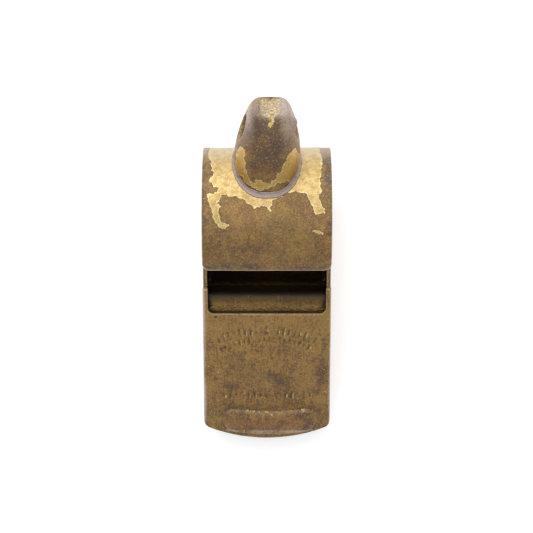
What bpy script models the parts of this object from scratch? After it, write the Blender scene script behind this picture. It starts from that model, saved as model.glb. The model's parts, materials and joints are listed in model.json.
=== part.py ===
"""A brass pea whistle, lying on a table as it comes to rest by itself, on its barrel and its tip.

Every sheet is drawn in side view, in the playing frame: the barrel's axis is the X axis, "forward" is
the way from the barrel to the mouthpiece's tip (-Y), "up" is +Z, and the mouthpiece's top is level.
Side-view points are pairs (forward, up). An empty then tips the whole whistle forward until its tip
meets the table.
"""

import math

import bmesh
import bpy
from mathutils import Matrix, Vector

MM = 0.001

# Sheets and joints
SHEET = 0.6 * MM  # brass sheet of the barrel, the mouthpiece and the sides
JOINT_GAP = 0.05 * MM  # the clearance that the solder fills between two pieces
SIDE_INSET = 0.1 * MM  # how far the sides lie in from the edges of the barrel's strip

# Overall sizes
BODY_WIDTH = 19.5 * MM
BARREL_RADIUS = 10.8 * MM  # outside of the barrel
MOUTH_REACH = 33.1 * MM  # from the barrel's axis to the middle of the tip

# Mouthpiece
MOUTH_TOP = 10.2 * MM  # the top's outer face, above the barrel's axis
MOUTH_HEIGHT = 6.9 * MM  # outer height at the tip
FLOOR_SLOPE = math.radians(2.5)  # the floor rises towards the tip
FLOOR_BEND = 0.9 * MM  # where the strip turns from the barrel into the floor, at mid-sheet
TIP_ARC_RADIUS = 22.7 * MM  # the tip is bowed, seen from above
TIP_CORNER = 1.3 * MM
TOP_EDGE_ROUND = 0.4 * MM  # long edges of the mouthpiece's top
GRIP_LENGTH = 14.0 * MM  # raised tooth grip, across the whistle
GRIP_WIDTH = 3.6 * MM
GRIP_RISE = 0.45 * MM
GRIP_FROM_TIP = 2.8 * MM  # from the tip to the middle of the grip

# Window, where the air stream meets the lip
LIP_ANGLE = math.radians(24.9)  # the lip's end, forward of the barrel's highest line
LIP_CORNER = 1.2 * MM
WINDOW_FRONT = 11.4 * MM  # front edge of the window, forward of the barrel's axis
ARM_LENGTH = 4.0 * MM  # the top's two arms beside the window
ARM_WIDTH = 0.8 * MM
WINDOW_CORNER = 0.9 * MM
NOTCH_DEPTH = 0.5 * MM  # step in the sides' upper edge at the end of the arms

# Windway ramp
RAMP_SHEET = 0.5 * MM
SLOT_HEIGHT = 0.9 * MM  # the air slot between the ramp and the top
RAMP_WALL_LEAN = math.radians(10.8)  # the wall behind the slot leans over the chamber
RAMP_FLAT = 1.5 * MM  # level stretch of the ramp under the top
RAMP_TOE_FROM_TIP = 6.5 * MM
RAMP_FOOT = 3.0 * MM
RAMP_BEND = 0.8 * MM

# Suspension loop, an oval dome with a hole across it
LOOP_ANGLE = math.radians(13.0)  # its axis, above the level line to the rear
LOOP_HEIGHT = 9.7 * MM  # above the barrel's surface
LOOP_BASE_WIDTH = 9.5 * MM
LOOP_BASE_LENGTH = 11.8 * MM
LOOP_TOP_WIDTH = 3.6 * MM
LOOP_TOP_LENGTH = 3.8 * MM
LOOP_FULLNESS = 2.2  # 2 makes the dome's side an ellipse, and more makes it fuller
LOOP_LEAN = 0.4 * MM  # its top stands this far to one side
LOOP_HOLE_RADIUS = 1.88 * MM
LOOP_HOLE_HEIGHT = 6.0 * MM  # its centre, above the barrel's surface

# Solder
COLLAR_WIDTH = 0.6 * MM  # fillet round the loop's base
COLLAR_HEIGHT = 0.9 * MM
SEAM_LEG = 0.45 * MM  # fillets inside the barrel's corners
MOUTH_SEAM_LEG = 0.3 * MM

# Pea
PEA_RADIUS = 5.75 * MM
PEA_CLEARANCE = 0.15 * MM

# Fineness
ROUND_STEP = math.radians(5.0)  # facets of the barrel
CUTTER_REACH = 6.0 * MM  # how far a cutter runs past what it cuts
LOOP_SIDES = 40
LOOP_RINGS = 9
HOLE_SIDES = 28
BARREL_SIDES = 96  # of the cutter that seats the loop on the barrel

# Worked out from the sizes above
BARREL_INSIDE = BARREL_RADIUS - SHEET
BARREL_MIDDLE = BARREL_RADIUS - SHEET / 2
SIDE_OUTER_X = BODY_WIDTH / 2 - SIDE_INSET
SIDE_INNER_X = SIDE_OUTER_X - SHEET
TOP_UNDERSIDE = MOUTH_TOP - SHEET
ARM_END = WINDOW_FRONT - ARM_LENGTH


def direction(angle):
    """The side-view unit vector at an angle from forward, turning upwards."""
    return Vector((math.cos(angle), math.sin(angle)))


FLOOR_ALONG = direction(FLOOR_SLOPE)
FLOOR_UP = direction(FLOOR_SLOPE + math.pi / 2)
FLOOR_TIP_MIDDLE = Vector((MOUTH_REACH, MOUTH_TOP - MOUTH_HEIGHT + SHEET / 2))
FLOOR_LEVEL = FLOOR_UP.dot(FLOOR_TIP_MIDDLE)  # the floor's mid-sheet, along FLOOR_UP
# The strip leaves the barrel where a bend of FLOOR_BEND meets both the barrel and the floor.
THROAT_ANGLE = FLOOR_SLOPE + math.asin((FLOOR_LEVEL - FLOOR_BEND) / (BARREL_MIDDLE + FLOOR_BEND))
BEND_CENTRE = (BARREL_MIDDLE + FLOOR_BEND) * direction(THROAT_ANGLE)


def rest_tilt():
    """How far the whistle tips forward until the tip's lower edge is as low as the barrel."""
    edge = Vector((MOUTH_REACH, MOUTH_TOP - MOUTH_HEIGHT))
    return math.atan2(edge.y, edge.x) + math.asin(BARREL_RADIUS / edge.length)


# Side-view drawing --------------------------------------------------------------------------------


def arc(centre, radius, start, end, step=ROUND_STEP):
    """Points along an arc, both ends included."""
    steps = max(1, math.ceil(abs(end - start) / step))
    return [centre + radius * direction(start + (end - start) * i / steps) for i in range(steps + 1)]


def rounded(points, radius, step=math.radians(15)):
    """A path whose inner corners are turned into arcs of one radius."""
    path = [points[0]]
    for before, corner, after in zip(points, points[1:], points[2:]):
        come = (corner - before).normalized()
        go = (after - corner).normalized()
        turn = math.atan2(come.x * go.y - come.y * go.x, come.dot(go))
        side = math.copysign(1.0, turn)
        start = corner - come * radius * math.tan(abs(turn) / 2)
        centre = start + side * radius * Vector((-come.y, come.x))
        first = math.atan2(start.y - centre.y, start.x - centre.x)
        path += arc(centre, radius, first, first + turn, step)
    return path + [points[-1]]


def thickened(path, thickness):
    """The closed outline of a sheet that follows a mid-line path."""
    left, right = [], []
    for i, point in enumerate(path):
        come = (point - path[i - 1]).normalized() if i else None
        go = (path[i + 1] - point).normalized() if i + 1 < len(path) else None
        along = ((come or go) + (go or come)).normalized()
        across = Vector((-along.y, along.x))
        reach = thickness / 2 / along.dot(go or come)
        left.append(point + across * reach)
        right.append(point - across * reach)
    return left + right[::-1]


def strip_path(inward, past_lip=0.0, past_tip=0.0):
    """The strip from the lip, over the back and under, to the tip, moved inward from mid-sheet."""
    start = math.pi / 2 - LIP_ANGLE - past_lip / BARREL_MIDDLE
    barrel = arc(Vector((0, 0)), BARREL_MIDDLE - inward, start, math.tau + THROAT_ANGLE)
    bend = arc(
        BEND_CENTRE,
        FLOOR_BEND + inward,
        math.pi + THROAT_ANGLE,
        math.pi / 2 + FLOOR_SLOPE,
        math.radians(15),
    )
    tip = FLOOR_TIP_MIDDLE + FLOOR_UP * inward + FLOOR_ALONG * past_tip
    return barrel + bend[1:] + [tip]


def floor_point(forward, above):
    """The point of the line this far above the floor's mid-sheet, at a forward distance."""
    up = (FLOOR_LEVEL + above + math.sin(FLOOR_SLOPE) * forward) / math.cos(FLOOR_SLOPE)
    return Vector((forward, up))


def tip_outline():
    """Half of the bowed tip seen from above, from its middle outwards, as (forward, across)."""
    meets_side = math.radians(80)  # short of a right angle, so that the cut crosses the side cleanly
    bow_centre = MOUTH_REACH - TIP_ARC_RADIUS
    corner_x = BODY_WIDTH / 2 - TIP_CORNER * math.sin(meets_side)
    corner_turn = math.asin(corner_x / (TIP_ARC_RADIUS - TIP_CORNER))
    corner = Vector((bow_centre + (TIP_ARC_RADIUS - TIP_CORNER) * math.cos(corner_turn), corner_x))
    bow = arc(Vector((bow_centre, 0)), TIP_ARC_RADIUS, 0, corner_turn, math.radians(4))
    turn = arc(corner, TIP_CORNER, corner_turn, meets_side, math.radians(20))
    past = turn[-1] + CUTTER_REACH * direction(meets_side + math.pi / 2)
    return bow + turn[1:] + [past]


# Solids -------------------------------------------------------------------------------------------


def new_object(name, mesh_builder, parent):
    """An object from a bmesh, with its faces turned outwards."""
    bmesh.ops.recalc_face_normals(mesh_builder, faces=mesh_builder.faces)
    mesh = bpy.data.meshes.new(name)
    mesh_builder.to_mesh(mesh)
    mesh_builder.free()
    obj = bpy.data.objects.new(name, mesh)
    bpy.context.scene.collection.objects.link(obj)
    obj.parent = parent
    return obj


def prism(name, corners, travel, parent):
    """A closed solid: a flat outline of 3-D corners, extruded along travel."""
    mesh_builder = bmesh.new()
    face = mesh_builder.faces.new([mesh_builder.verts.new(c) for c in corners])
    grown = bmesh.ops.extrude_face_region(mesh_builder, geom=[face], use_keep_orig=True)
    moved = [v for v in grown["geom"] if isinstance(v, bmesh.types.BMVert)]
    bmesh.ops.translate(mesh_builder, verts=moved, vec=travel)
    return new_object(name, mesh_builder, parent)


def side_prism(name, outline, x_low, x_high, parent):
    """A side-view outline, extruded across the whistle."""
    corners = [Vector((x_low, -p.x, p.y)) for p in outline]
    return prism(name, corners, Vector((x_high - x_low, 0, 0)), parent)


def plan_prism(name, outline, z_low, z_high, parent):
    """An outline seen from above, as (forward, across), extruded upwards."""
    corners = [Vector((p.y, -p.x, z_low)) for p in outline]
    return prism(name, corners, Vector((0, 0, z_high - z_low)), parent)


def hide_cutter(obj):
    obj.hide_render = True
    obj.display_type = "WIRE"
    return obj


def combine(obj, other, operation):
    modifier = obj.modifiers.new(operation.lower(), "BOOLEAN")
    modifier.operation = operation
    modifier.object = other


def shade(obj):
    """Smooth on the curved faces and sharp at the edges."""
    obj.data.shade_smooth()
    obj.data.set_sharp_from_angle(angle=math.radians(30))


def finish(obj, colour, roughness, metallic):
    material = bpy.data.materials.new(obj.name)
    material.use_nodes = True
    surface = material.node_tree.nodes["Principled BSDF"]
    surface.inputs["Base Color"].default_value = (*colour, 1.0)
    surface.inputs["Roughness"].default_value = roughness
    surface.inputs["Metallic"].default_value = metallic
    obj.data.materials.clear()
    obj.data.materials.append(material)
    shade(obj)


def tip_cutter(parent):
    """All that lies past the bowed tip."""
    half = tip_outline()
    front = MOUTH_REACH + CUTTER_REACH
    half.append(Vector((front, half[-1].y)))
    outline = [Vector((p.x, -p.y)) for p in half[:0:-1]] + half
    cutter = plan_prism("tip_cutter", outline, -BARREL_RADIUS, BARREL_RADIUS + CUTTER_REACH, parent)
    return hide_cutter(cutter)


def lip_cutter(parent):
    """What is cut off the strip's end, square to the barrel, to leave a lip with round corners."""
    meets_side = math.radians(80)
    corner = Vector((-LIP_CORNER, BODY_WIDTH / 2 - LIP_CORNER * math.sin(meets_side)))
    turn = arc(corner, LIP_CORNER, 0, meets_side, math.radians(20))
    past = turn[-1] + CUTTER_REACH * direction(meets_side + math.pi / 2)
    half = turn + [past, Vector((CUTTER_REACH, past.y))]
    outline = [Vector((p.x, -p.y)) for p in half[::-1]] + half
    low, high = BARREL_RADIUS - 2 * SHEET, BARREL_RADIUS + SHEET
    cutter = plan_prism("lip_cutter", outline, low, high, parent)
    cutter.rotation_euler.x = LIP_ANGLE
    return hide_cutter(cutter)


def make_barrel_strip(parent, at_tip, at_lip):
    """One strip of sheet: the lip, the barrel's wall and the mouthpiece's floor, with its tooth grip."""
    path = strip_path(0.0, past_lip=SHEET, past_tip=CUTTER_REACH / 2)
    strip = side_prism(
        "barrel_strip", thickened(path, SHEET), -BODY_WIDTH / 2, BODY_WIDTH / 2, parent
    )
    combine(strip, at_tip, "DIFFERENCE")
    combine(strip, at_lip, "DIFFERENCE")
    combine(strip, make_grip("floor_grip_shape", parent, under=True), "UNION")
    return strip


def make_grip(name, parent, under):
    """A pill-shaped bead, standing half a sheet deep in the plate that it belongs to."""
    half_straight = (GRIP_LENGTH - GRIP_WIDTH) / 2
    turn = math.radians(22.5)
    outline = arc(Vector((0, half_straight)), GRIP_WIDTH / 2, 0, math.pi, turn) + arc(
        Vector((0, -half_straight)), GRIP_WIDTH / 2, math.pi, math.tau, turn
    )
    bead = plan_prism(name, outline, -SHEET / 2, GRIP_RISE, parent)
    mesh_builder = bmesh.new()
    mesh_builder.from_mesh(bead.data)
    crown = [e for e in mesh_builder.edges if all(v.co.z > GRIP_RISE / 2 for v in e.verts)]
    bmesh.ops.bevel(
        mesh_builder, geom=crown, offset=0.8 * GRIP_RISE, segments=2, profile=0.5, affect="EDGES"
    )
    mesh_builder.to_mesh(bead.data)
    mesh_builder.free()
    forward = MOUTH_REACH - GRIP_FROM_TIP
    if under:
        point = floor_point(forward, -SHEET / 2)
        bead.matrix_local = Matrix.Translation((0, -point.x, point.y)) @ Matrix.Rotation(
            math.pi - FLOOR_SLOPE, 4, "X"
        )
    else:
        bead.matrix_local = Matrix.Translation((0, -forward, MOUTH_TOP))
    return hide_cutter(bead)


def make_mouthpiece_top(parent, at_tip):
    """A plate with rounded long edges and a tooth grip, and two arms beside the window."""
    half = BODY_WIDTH / 2
    quarter = math.radians(30)
    edge_centre = Vector((half - TOP_EDGE_ROUND, MOUTH_TOP - TOP_EDGE_ROUND))
    right = [Vector((half, TOP_UNDERSIDE))] + arc(edge_centre, TOP_EDGE_ROUND, 0, math.pi / 2, quarter)
    section = right + [Vector((-p.x, p.y)) for p in right[::-1]]
    corners = [Vector((p.x, -ARM_END, p.y)) for p in section]
    travel = Vector((0, ARM_END - MOUTH_REACH - CUTTER_REACH / 2, 0))
    top = prism("mouthpiece_top", corners, travel, parent)
    combine(top, at_tip, "DIFFERENCE")

    opening = half - ARM_WIDTH
    back = ARM_END - CUTTER_REACH / 2
    corner = Vector((WINDOW_FRONT - WINDOW_CORNER, opening - WINDOW_CORNER))
    turn = arc(corner, WINDOW_CORNER, 0, math.pi / 2, math.radians(22.5)) + [Vector((back, opening))]
    outline = [Vector((p.x, -p.y)) for p in turn[::-1]] + turn
    window = plan_prism("window_cutter", outline, TOP_UNDERSIDE - SHEET, MOUTH_TOP + SHEET, parent)
    combine(top, hide_cutter(window), "DIFFERENCE")
    combine(top, make_grip("top_grip_shape", parent, under=False), "UNION")
    return top


def make_side_plate(name, side, parent, at_tip):
    """A flat side: a disc that closes the barrel, with a tongue that closes the mouthpiece."""
    inward = SHEET / 2 + JOINT_GAP
    under_strip = strip_path(inward, past_tip=CUTTER_REACH / 2)
    upper = TOP_UNDERSIDE - JOINT_GAP
    outline = under_strip + [
        Vector((under_strip[-1].x, upper)),
        Vector((ARM_END, upper)),
        Vector((ARM_END, upper - NOTCH_DEPTH)),
    ]
    low, high = sorted((side * SIDE_INNER_X, side * SIDE_OUTER_X))
    plate = side_prism(name, outline, low, high, parent)
    combine(plate, at_tip, "DIFFERENCE")
    return plate


def make_windway_ramp(parent):
    """A bent sheet: the wall in front of the pea, the slot's floor, and the slope up to it."""
    above_floor = SHEET / 2 + JOINT_GAP + RAMP_SHEET / 2
    wall = direction(RAMP_WALL_LEAN)
    wall_distance = BARREL_INSIDE + JOINT_GAP + RAMP_SHEET / 2
    level = TOP_UNDERSIDE - SLOT_HEIGHT - RAMP_SHEET / 2
    crest = Vector(((wall_distance - level * wall.y) / wall.x, level))
    rise = wall.y * (FLOOR_LEVEL + above_floor) / math.cos(FLOOR_SLOPE)
    heel = floor_point(
        (wall_distance - rise) / (wall.x + wall.y * math.tan(FLOOR_SLOPE)), above_floor
    )
    path = rounded(
        [
            floor_point(heel.x + RAMP_FOOT, above_floor),
            heel,
            crest,
            Vector((WINDOW_FRONT + RAMP_FLAT, level)),
            floor_point(MOUTH_REACH - RAMP_TOE_FROM_TIP, above_floor),
        ],
        RAMP_BEND,
    )
    half = SIDE_INNER_X - JOINT_GAP
    return side_prism("windway_ramp", thickened(path, RAMP_SHEET), -half, half, parent)


def loop_half_sizes(share):
    """Half the width and half the length of the loop's oval section, at a share of its height."""
    closing = max(0.0, 1 - max(0.0, share) ** LOOP_FULLNESS) ** (1 / LOOP_FULLNESS)
    top = Vector((LOOP_TOP_WIDTH, LOOP_TOP_LENGTH)) / 2
    base = Vector((LOOP_BASE_WIDTH, LOOP_BASE_LENGTH)) / 2
    return top + (base - top) * closing


def oval(half_sizes, height, sides, shift=0.0):
    """Points of a level oval, counted round the loop's own +Z axis, and shifted along X."""
    turns = [math.tau * i / sides for i in range(sides)]
    return [
        Vector((shift + half_sizes.x * math.cos(t), half_sizes.y * math.sin(t), height)) for t in turns
    ]


def make_suspension_loop(stand):
    """A dome of oval sections, with a hole across it, seated on the barrel."""
    mesh_builder = bmesh.new()
    seat = BARREL_RADIUS + JOINT_GAP
    sunk = seat - math.sqrt(seat**2 - (LOOP_BASE_LENGTH / 2) ** 2) + SHEET
    shares = [math.sin(math.pi / 2 * i / (LOOP_RINGS - 1)) for i in range(LOOP_RINGS)]
    heights = [-sunk] + [LOOP_HEIGHT * s for s in shares]
    sections = [loop_half_sizes(h / LOOP_HEIGHT) for h in heights]
    rings = [
        [
            mesh_builder.verts.new(p)
            for p in oval(half, BARREL_RADIUS + h, LOOP_SIDES, LOOP_LEAN * max(0.0, h) / LOOP_HEIGHT)
        ]
        for half, h in zip(sections, heights)
    ]
    for lower, upper in zip(rings, rings[1:]):
        for i in range(LOOP_SIDES):
            j = (i + 1) % LOOP_SIDES
            mesh_builder.faces.new((lower[i], lower[j], upper[j], upper[i]))
    mesh_builder.faces.new(rings[0][::-1])
    mesh_builder.faces.new(rings[-1])
    loop = new_object("suspension_loop", mesh_builder, stand)
    combine(loop, cylinder_across("barrel_cutter", seat, 0.0, BARREL_SIDES, stand), "DIFFERENCE")
    centre = BARREL_RADIUS + LOOP_HOLE_HEIGHT
    hole = cylinder_across("ring_hole_cutter", LOOP_HOLE_RADIUS, centre, HOLE_SIDES, stand)
    combine(loop, hole, "DIFFERENCE")
    return loop


def cylinder_across(name, radius, height, sides, stand):
    """A cutter along X, at a height on the loop's own axis."""
    mesh_builder = bmesh.new()
    place = Matrix.Translation((0, 0, height)) @ Matrix.Rotation(math.pi / 2, 4, "Y")
    bmesh.ops.create_cone(
        mesh_builder, cap_ends=True, segments=sides, radius1=radius, radius2=radius,
        depth=BODY_WIDTH + 2 * CUTTER_REACH, matrix=place,
    )
    return hide_cutter(new_object(name, mesh_builder, stand))


def make_loop_solder(stand):
    """The solder fillet round the loop's base: a ring with a hollowed face, lying on the barrel."""
    seat = BARREL_RADIUS + JOINT_GAP
    half = loop_half_sizes(0.0) + Vector((JOINT_GAP, JOINT_GAP))
    mesh_builder = bmesh.new()
    rings = []
    for point in oval(half, 0.0, LOOP_SIDES):
        outward = Vector((point.x / half.x**2, point.y / half.y**2, 0)).normalized()
        foot = point + outward * COLLAR_WIDTH
        middle = point + outward * COLLAR_WIDTH * 0.35
        foot.z = math.sqrt(seat**2 - foot.y**2)
        point.z = math.sqrt(seat**2 - point.y**2)
        middle.z = math.sqrt(seat**2 - middle.y**2) + COLLAR_HEIGHT * 0.4
        crown = point + Vector((0, 0, COLLAR_HEIGHT))
        rings.append([mesh_builder.verts.new(p) for p in (point, foot, middle, crown)])
    for ring, following in zip(rings, rings[1:] + rings[:1]):
        for i in range(len(ring)):
            j = (i + 1) % len(ring)
            mesh_builder.faces.new((ring[i], ring[j], following[j], following[i]))
    return new_object("loop_solder", mesh_builder, stand)


def make_barrel_seam(name, side, parent):
    """The solder in the corner between the strip and a side, spun round the barrel's axis."""
    outer = BARREL_INSIDE - 2 * JOINT_GAP
    edge = side * (SIDE_INNER_X - JOINT_GAP)
    leg = side * SEAM_LEG
    start = LIP_ANGLE - math.radians(4)
    mesh_builder = bmesh.new()
    section = [
        (edge, outer),
        (edge - leg, outer),
        (edge - 0.35 * leg, outer - 0.35 * SEAM_LEG),
        (edge, outer - SEAM_LEG),
    ]
    face = mesh_builder.faces.new([mesh_builder.verts.new((x, 0, r)) for x, r in section])
    geometry = [face, *face.edges, *face.verts]
    bmesh.ops.rotate(mesh_builder, verts=face.verts, matrix=Matrix.Rotation(start, 3, "X"))
    sweep = -(math.tau - (math.pi / 2 - THROAT_ANGLE) + start)
    steps = math.ceil(abs(sweep) / ROUND_STEP)
    spun = bmesh.ops.spin(
        mesh_builder, geom=geometry, axis=(1, 0, 0), cent=(0, 0, 0), angle=sweep, steps=steps
    )
    assert spun["geom_last"]
    mesh_builder.faces.ensure_lookup_table()
    if not any(set(f.verts) == set(face.verts) for f in mesh_builder.faces):
        mesh_builder.faces.new(face.verts)
    return new_object(name, mesh_builder, parent)


def make_mouth_seam(name, side, parent):
    """The solder in the corner between the mouthpiece's top and a side."""
    edge = side * (SIDE_INNER_X - JOINT_GAP)
    level = TOP_UNDERSIDE - JOINT_GAP
    leg = side * MOUTH_SEAM_LEG
    start = WINDOW_FRONT + JOINT_GAP
    end = MOUTH_REACH - RAMP_TOE_FROM_TIP
    corners = [
        Vector((edge, -start, level)),
        Vector((edge - leg, -start, level)),
        Vector((edge - 0.35 * leg, -start, level - 0.35 * MOUTH_SEAM_LEG)),
        Vector((edge, -start, level - MOUTH_SEAM_LEG)),
    ]
    return prism(name, corners, Vector((0, start - end, 0)), parent)


def make_pea(orbit):
    """The cork ball, resting on the lowest line of the chamber."""
    mesh_builder = bmesh.new()
    drop = BARREL_INSIDE - PEA_RADIUS - PEA_CLEARANCE
    bmesh.ops.create_uvsphere(
        mesh_builder, u_segments=24, v_segments=14, radius=PEA_RADIUS,
        matrix=Matrix.Translation((0, 0, -drop)),
    )
    return new_object("cork_pea", mesh_builder, orbit)


# The whistle --------------------------------------------------------------------------------------


def empty(name, parent=None, turn=0.0):
    obj = bpy.data.objects.new(name, None)
    bpy.context.scene.collection.objects.link(obj)
    obj.parent = parent
    obj.rotation_euler.x = turn
    return obj


def set_on_table(lying, pieces):
    """Rests the barrel on the table, with the whistle's middle over the origin."""
    lying.location.z = BARREL_RADIUS
    bpy.context.view_layer.update()
    graph = bpy.context.evaluated_depsgraph_get()
    reach = []
    for piece in pieces:
        evaluated = piece.evaluated_get(graph)
        reach += [(evaluated.matrix_world @ v.co).y for v in evaluated.data.vertices]
    lying.location.y = -(min(reach) + max(reach)) / 2


def main():
    for obj in list(bpy.data.objects):
        bpy.data.objects.remove(obj)

    tilt = rest_tilt()
    lying = empty("lying_pose", turn=tilt)
    stand = empty("loop_axis", lying, turn=-(math.pi / 2 - LOOP_ANGLE))
    orbit = empty("pea_orbit", lying, turn=-tilt)

    at_tip = tip_cutter(lying)
    tarnished = (0.25, 0.18, 0.08)
    solder_grey = (0.32, 0.29, 0.28)
    brass = [
        make_barrel_strip(lying, at_tip, lip_cutter(lying)),
        make_mouthpiece_top(lying, at_tip),
        make_side_plate("side_plate_left", -1, lying, at_tip),
        make_side_plate("side_plate_right", 1, lying, at_tip),
        make_windway_ramp(lying),
        make_suspension_loop(stand),
    ]
    solder = [
        make_loop_solder(stand),
        make_barrel_seam("barrel_seam_left", -1, lying),
        make_barrel_seam("barrel_seam_right", 1, lying),
        make_mouth_seam("mouthpiece_seam_left", -1, lying),
        make_mouth_seam("mouthpiece_seam_right", 1, lying),
    ]
    pea = make_pea(orbit)
    for piece in brass:
        finish(piece, tarnished, 0.45, 1.0)
    for piece in solder:
        finish(piece, solder_grey, 0.55, 1.0)
    finish(pea, (0.42, 0.26, 0.13), 0.9, 0.0)
    set_on_table(lying, [*brass, *solder, pea])


main()
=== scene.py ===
"""The finish of a brass pea whistle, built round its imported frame: fine surfaces, aged brass and a studio.

Side-view coordinates are (forward, up) in the playing frame: the barrel's axis is the origin, forward runs to
the mouthpiece's tip and up is square to the mouthpiece's top. The whistle lies tipped forward by TILT.
"""

import json
import math

import bpy
import numpy as np
from bpy.props import FloatProperty, FloatVectorProperty, PointerProperty
from bpy.types import Operator, Panel, PropertyGroup
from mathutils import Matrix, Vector


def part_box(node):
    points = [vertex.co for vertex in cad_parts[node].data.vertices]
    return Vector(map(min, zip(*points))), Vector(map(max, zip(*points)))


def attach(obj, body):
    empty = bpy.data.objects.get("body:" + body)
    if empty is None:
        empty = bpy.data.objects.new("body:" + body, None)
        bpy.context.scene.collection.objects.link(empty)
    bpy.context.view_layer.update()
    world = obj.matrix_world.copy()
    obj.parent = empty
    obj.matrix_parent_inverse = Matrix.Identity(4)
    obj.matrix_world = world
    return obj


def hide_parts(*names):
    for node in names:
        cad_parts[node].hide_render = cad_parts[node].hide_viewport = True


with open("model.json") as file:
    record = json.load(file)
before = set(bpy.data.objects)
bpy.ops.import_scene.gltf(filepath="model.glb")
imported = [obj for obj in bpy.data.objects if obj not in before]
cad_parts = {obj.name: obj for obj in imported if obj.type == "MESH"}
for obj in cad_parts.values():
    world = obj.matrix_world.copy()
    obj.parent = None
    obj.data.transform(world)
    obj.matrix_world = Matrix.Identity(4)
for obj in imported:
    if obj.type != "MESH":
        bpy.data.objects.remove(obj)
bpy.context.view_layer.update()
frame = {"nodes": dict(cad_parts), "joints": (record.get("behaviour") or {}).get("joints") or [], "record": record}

bl_info = {
    "name": "Brass Pea Whistle",
    "version": (1, 0, 0),
    "blender": (4, 5, 0),
    "location": "View3D > Sidebar > Whistle",
    "description": "Builds a tarnished brass pea whistle round its packed frame",
    "category": "Add Mesh",
}

MM = 0.001

# What the frame says -----------------------------------------------------------------------------------

AXIS_Y, AXIS_Z = frame["joints"][0]["pos_m"][1:]
MOUNTS = {mount["name"]: mount for mount in frame["record"]["mounts"]}
TOP_FACE = MOUNTS["mouthpiece_top_face"]
TILT = math.atan2(-TOP_FACE["axis"][1], TOP_FACE["axis"][2])


def side_view(y, z):
    """World y and z as (forward, up): moved to the barrel's axis and turned back by the tilt."""
    forward = -(y - AXIS_Y) * math.cos(TILT) - (z - AXIS_Z) * math.sin(TILT)
    up = -(y - AXIS_Y) * math.sin(TILT) + (z - AXIS_Z) * math.cos(TILT)
    return forward, up


def to_world(forward, up, across):
    """(forward, up, across) as world points: turned by the tilt and moved off the barrel's axis."""
    y = AXIS_Y - forward * math.cos(TILT) - up * math.sin(TILT)
    z = AXIS_Z - forward * math.sin(TILT) + up * math.cos(TILT)
    return np.stack(np.broadcast_arrays(across, y, z), -1)


def node_reach(node):
    """Lowest and highest (forward, up, across) of a CAD node."""
    mesh = frame["nodes"][node].data
    points = np.empty(len(mesh.vertices) * 3)
    mesh.vertices.foreach_get("co", points)
    points = points.reshape(-1, 3)
    seen = np.stack([*side_view(points[:, 1], points[:, 2]), points[:, 0]], -1)
    return seen.min(0), seen.max(0)


STRIP_LOW, STRIP_HIGH = node_reach("barrel_strip")
TOP_LOW, TOP_HIGH = node_reach("mouthpiece_top")
SIDE_LOW, SIDE_HIGH = node_reach("side_plate_right")
_, RAMP_HIGH = node_reach("windway_ramp")
MOUTH_TOP = side_view(*TOP_FACE["pos_m"][1:])[1]


# Sizes and colours -------------------------------------------------------------------------------------


def length(name, description, default_mm):
    return FloatProperty(
        name=name, description=description, default=default_mm * MM, unit="LENGTH", precision=5
    )


def angle(name, description, degrees):
    return FloatProperty(name=name, description=description, default=math.radians(degrees), subtype="ANGLE")


def number(name, description, default):
    return FloatProperty(name=name, description=description, default=default)


def wattage(name, description, watts):
    return FloatProperty(name=name, description=description, default=watts, unit="POWER")


def colour(name, description, *linear):
    return FloatVectorProperty(
        name=name, description=description, default=linear, size=3, min=0, max=1, subtype="COLOR"
    )


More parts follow.
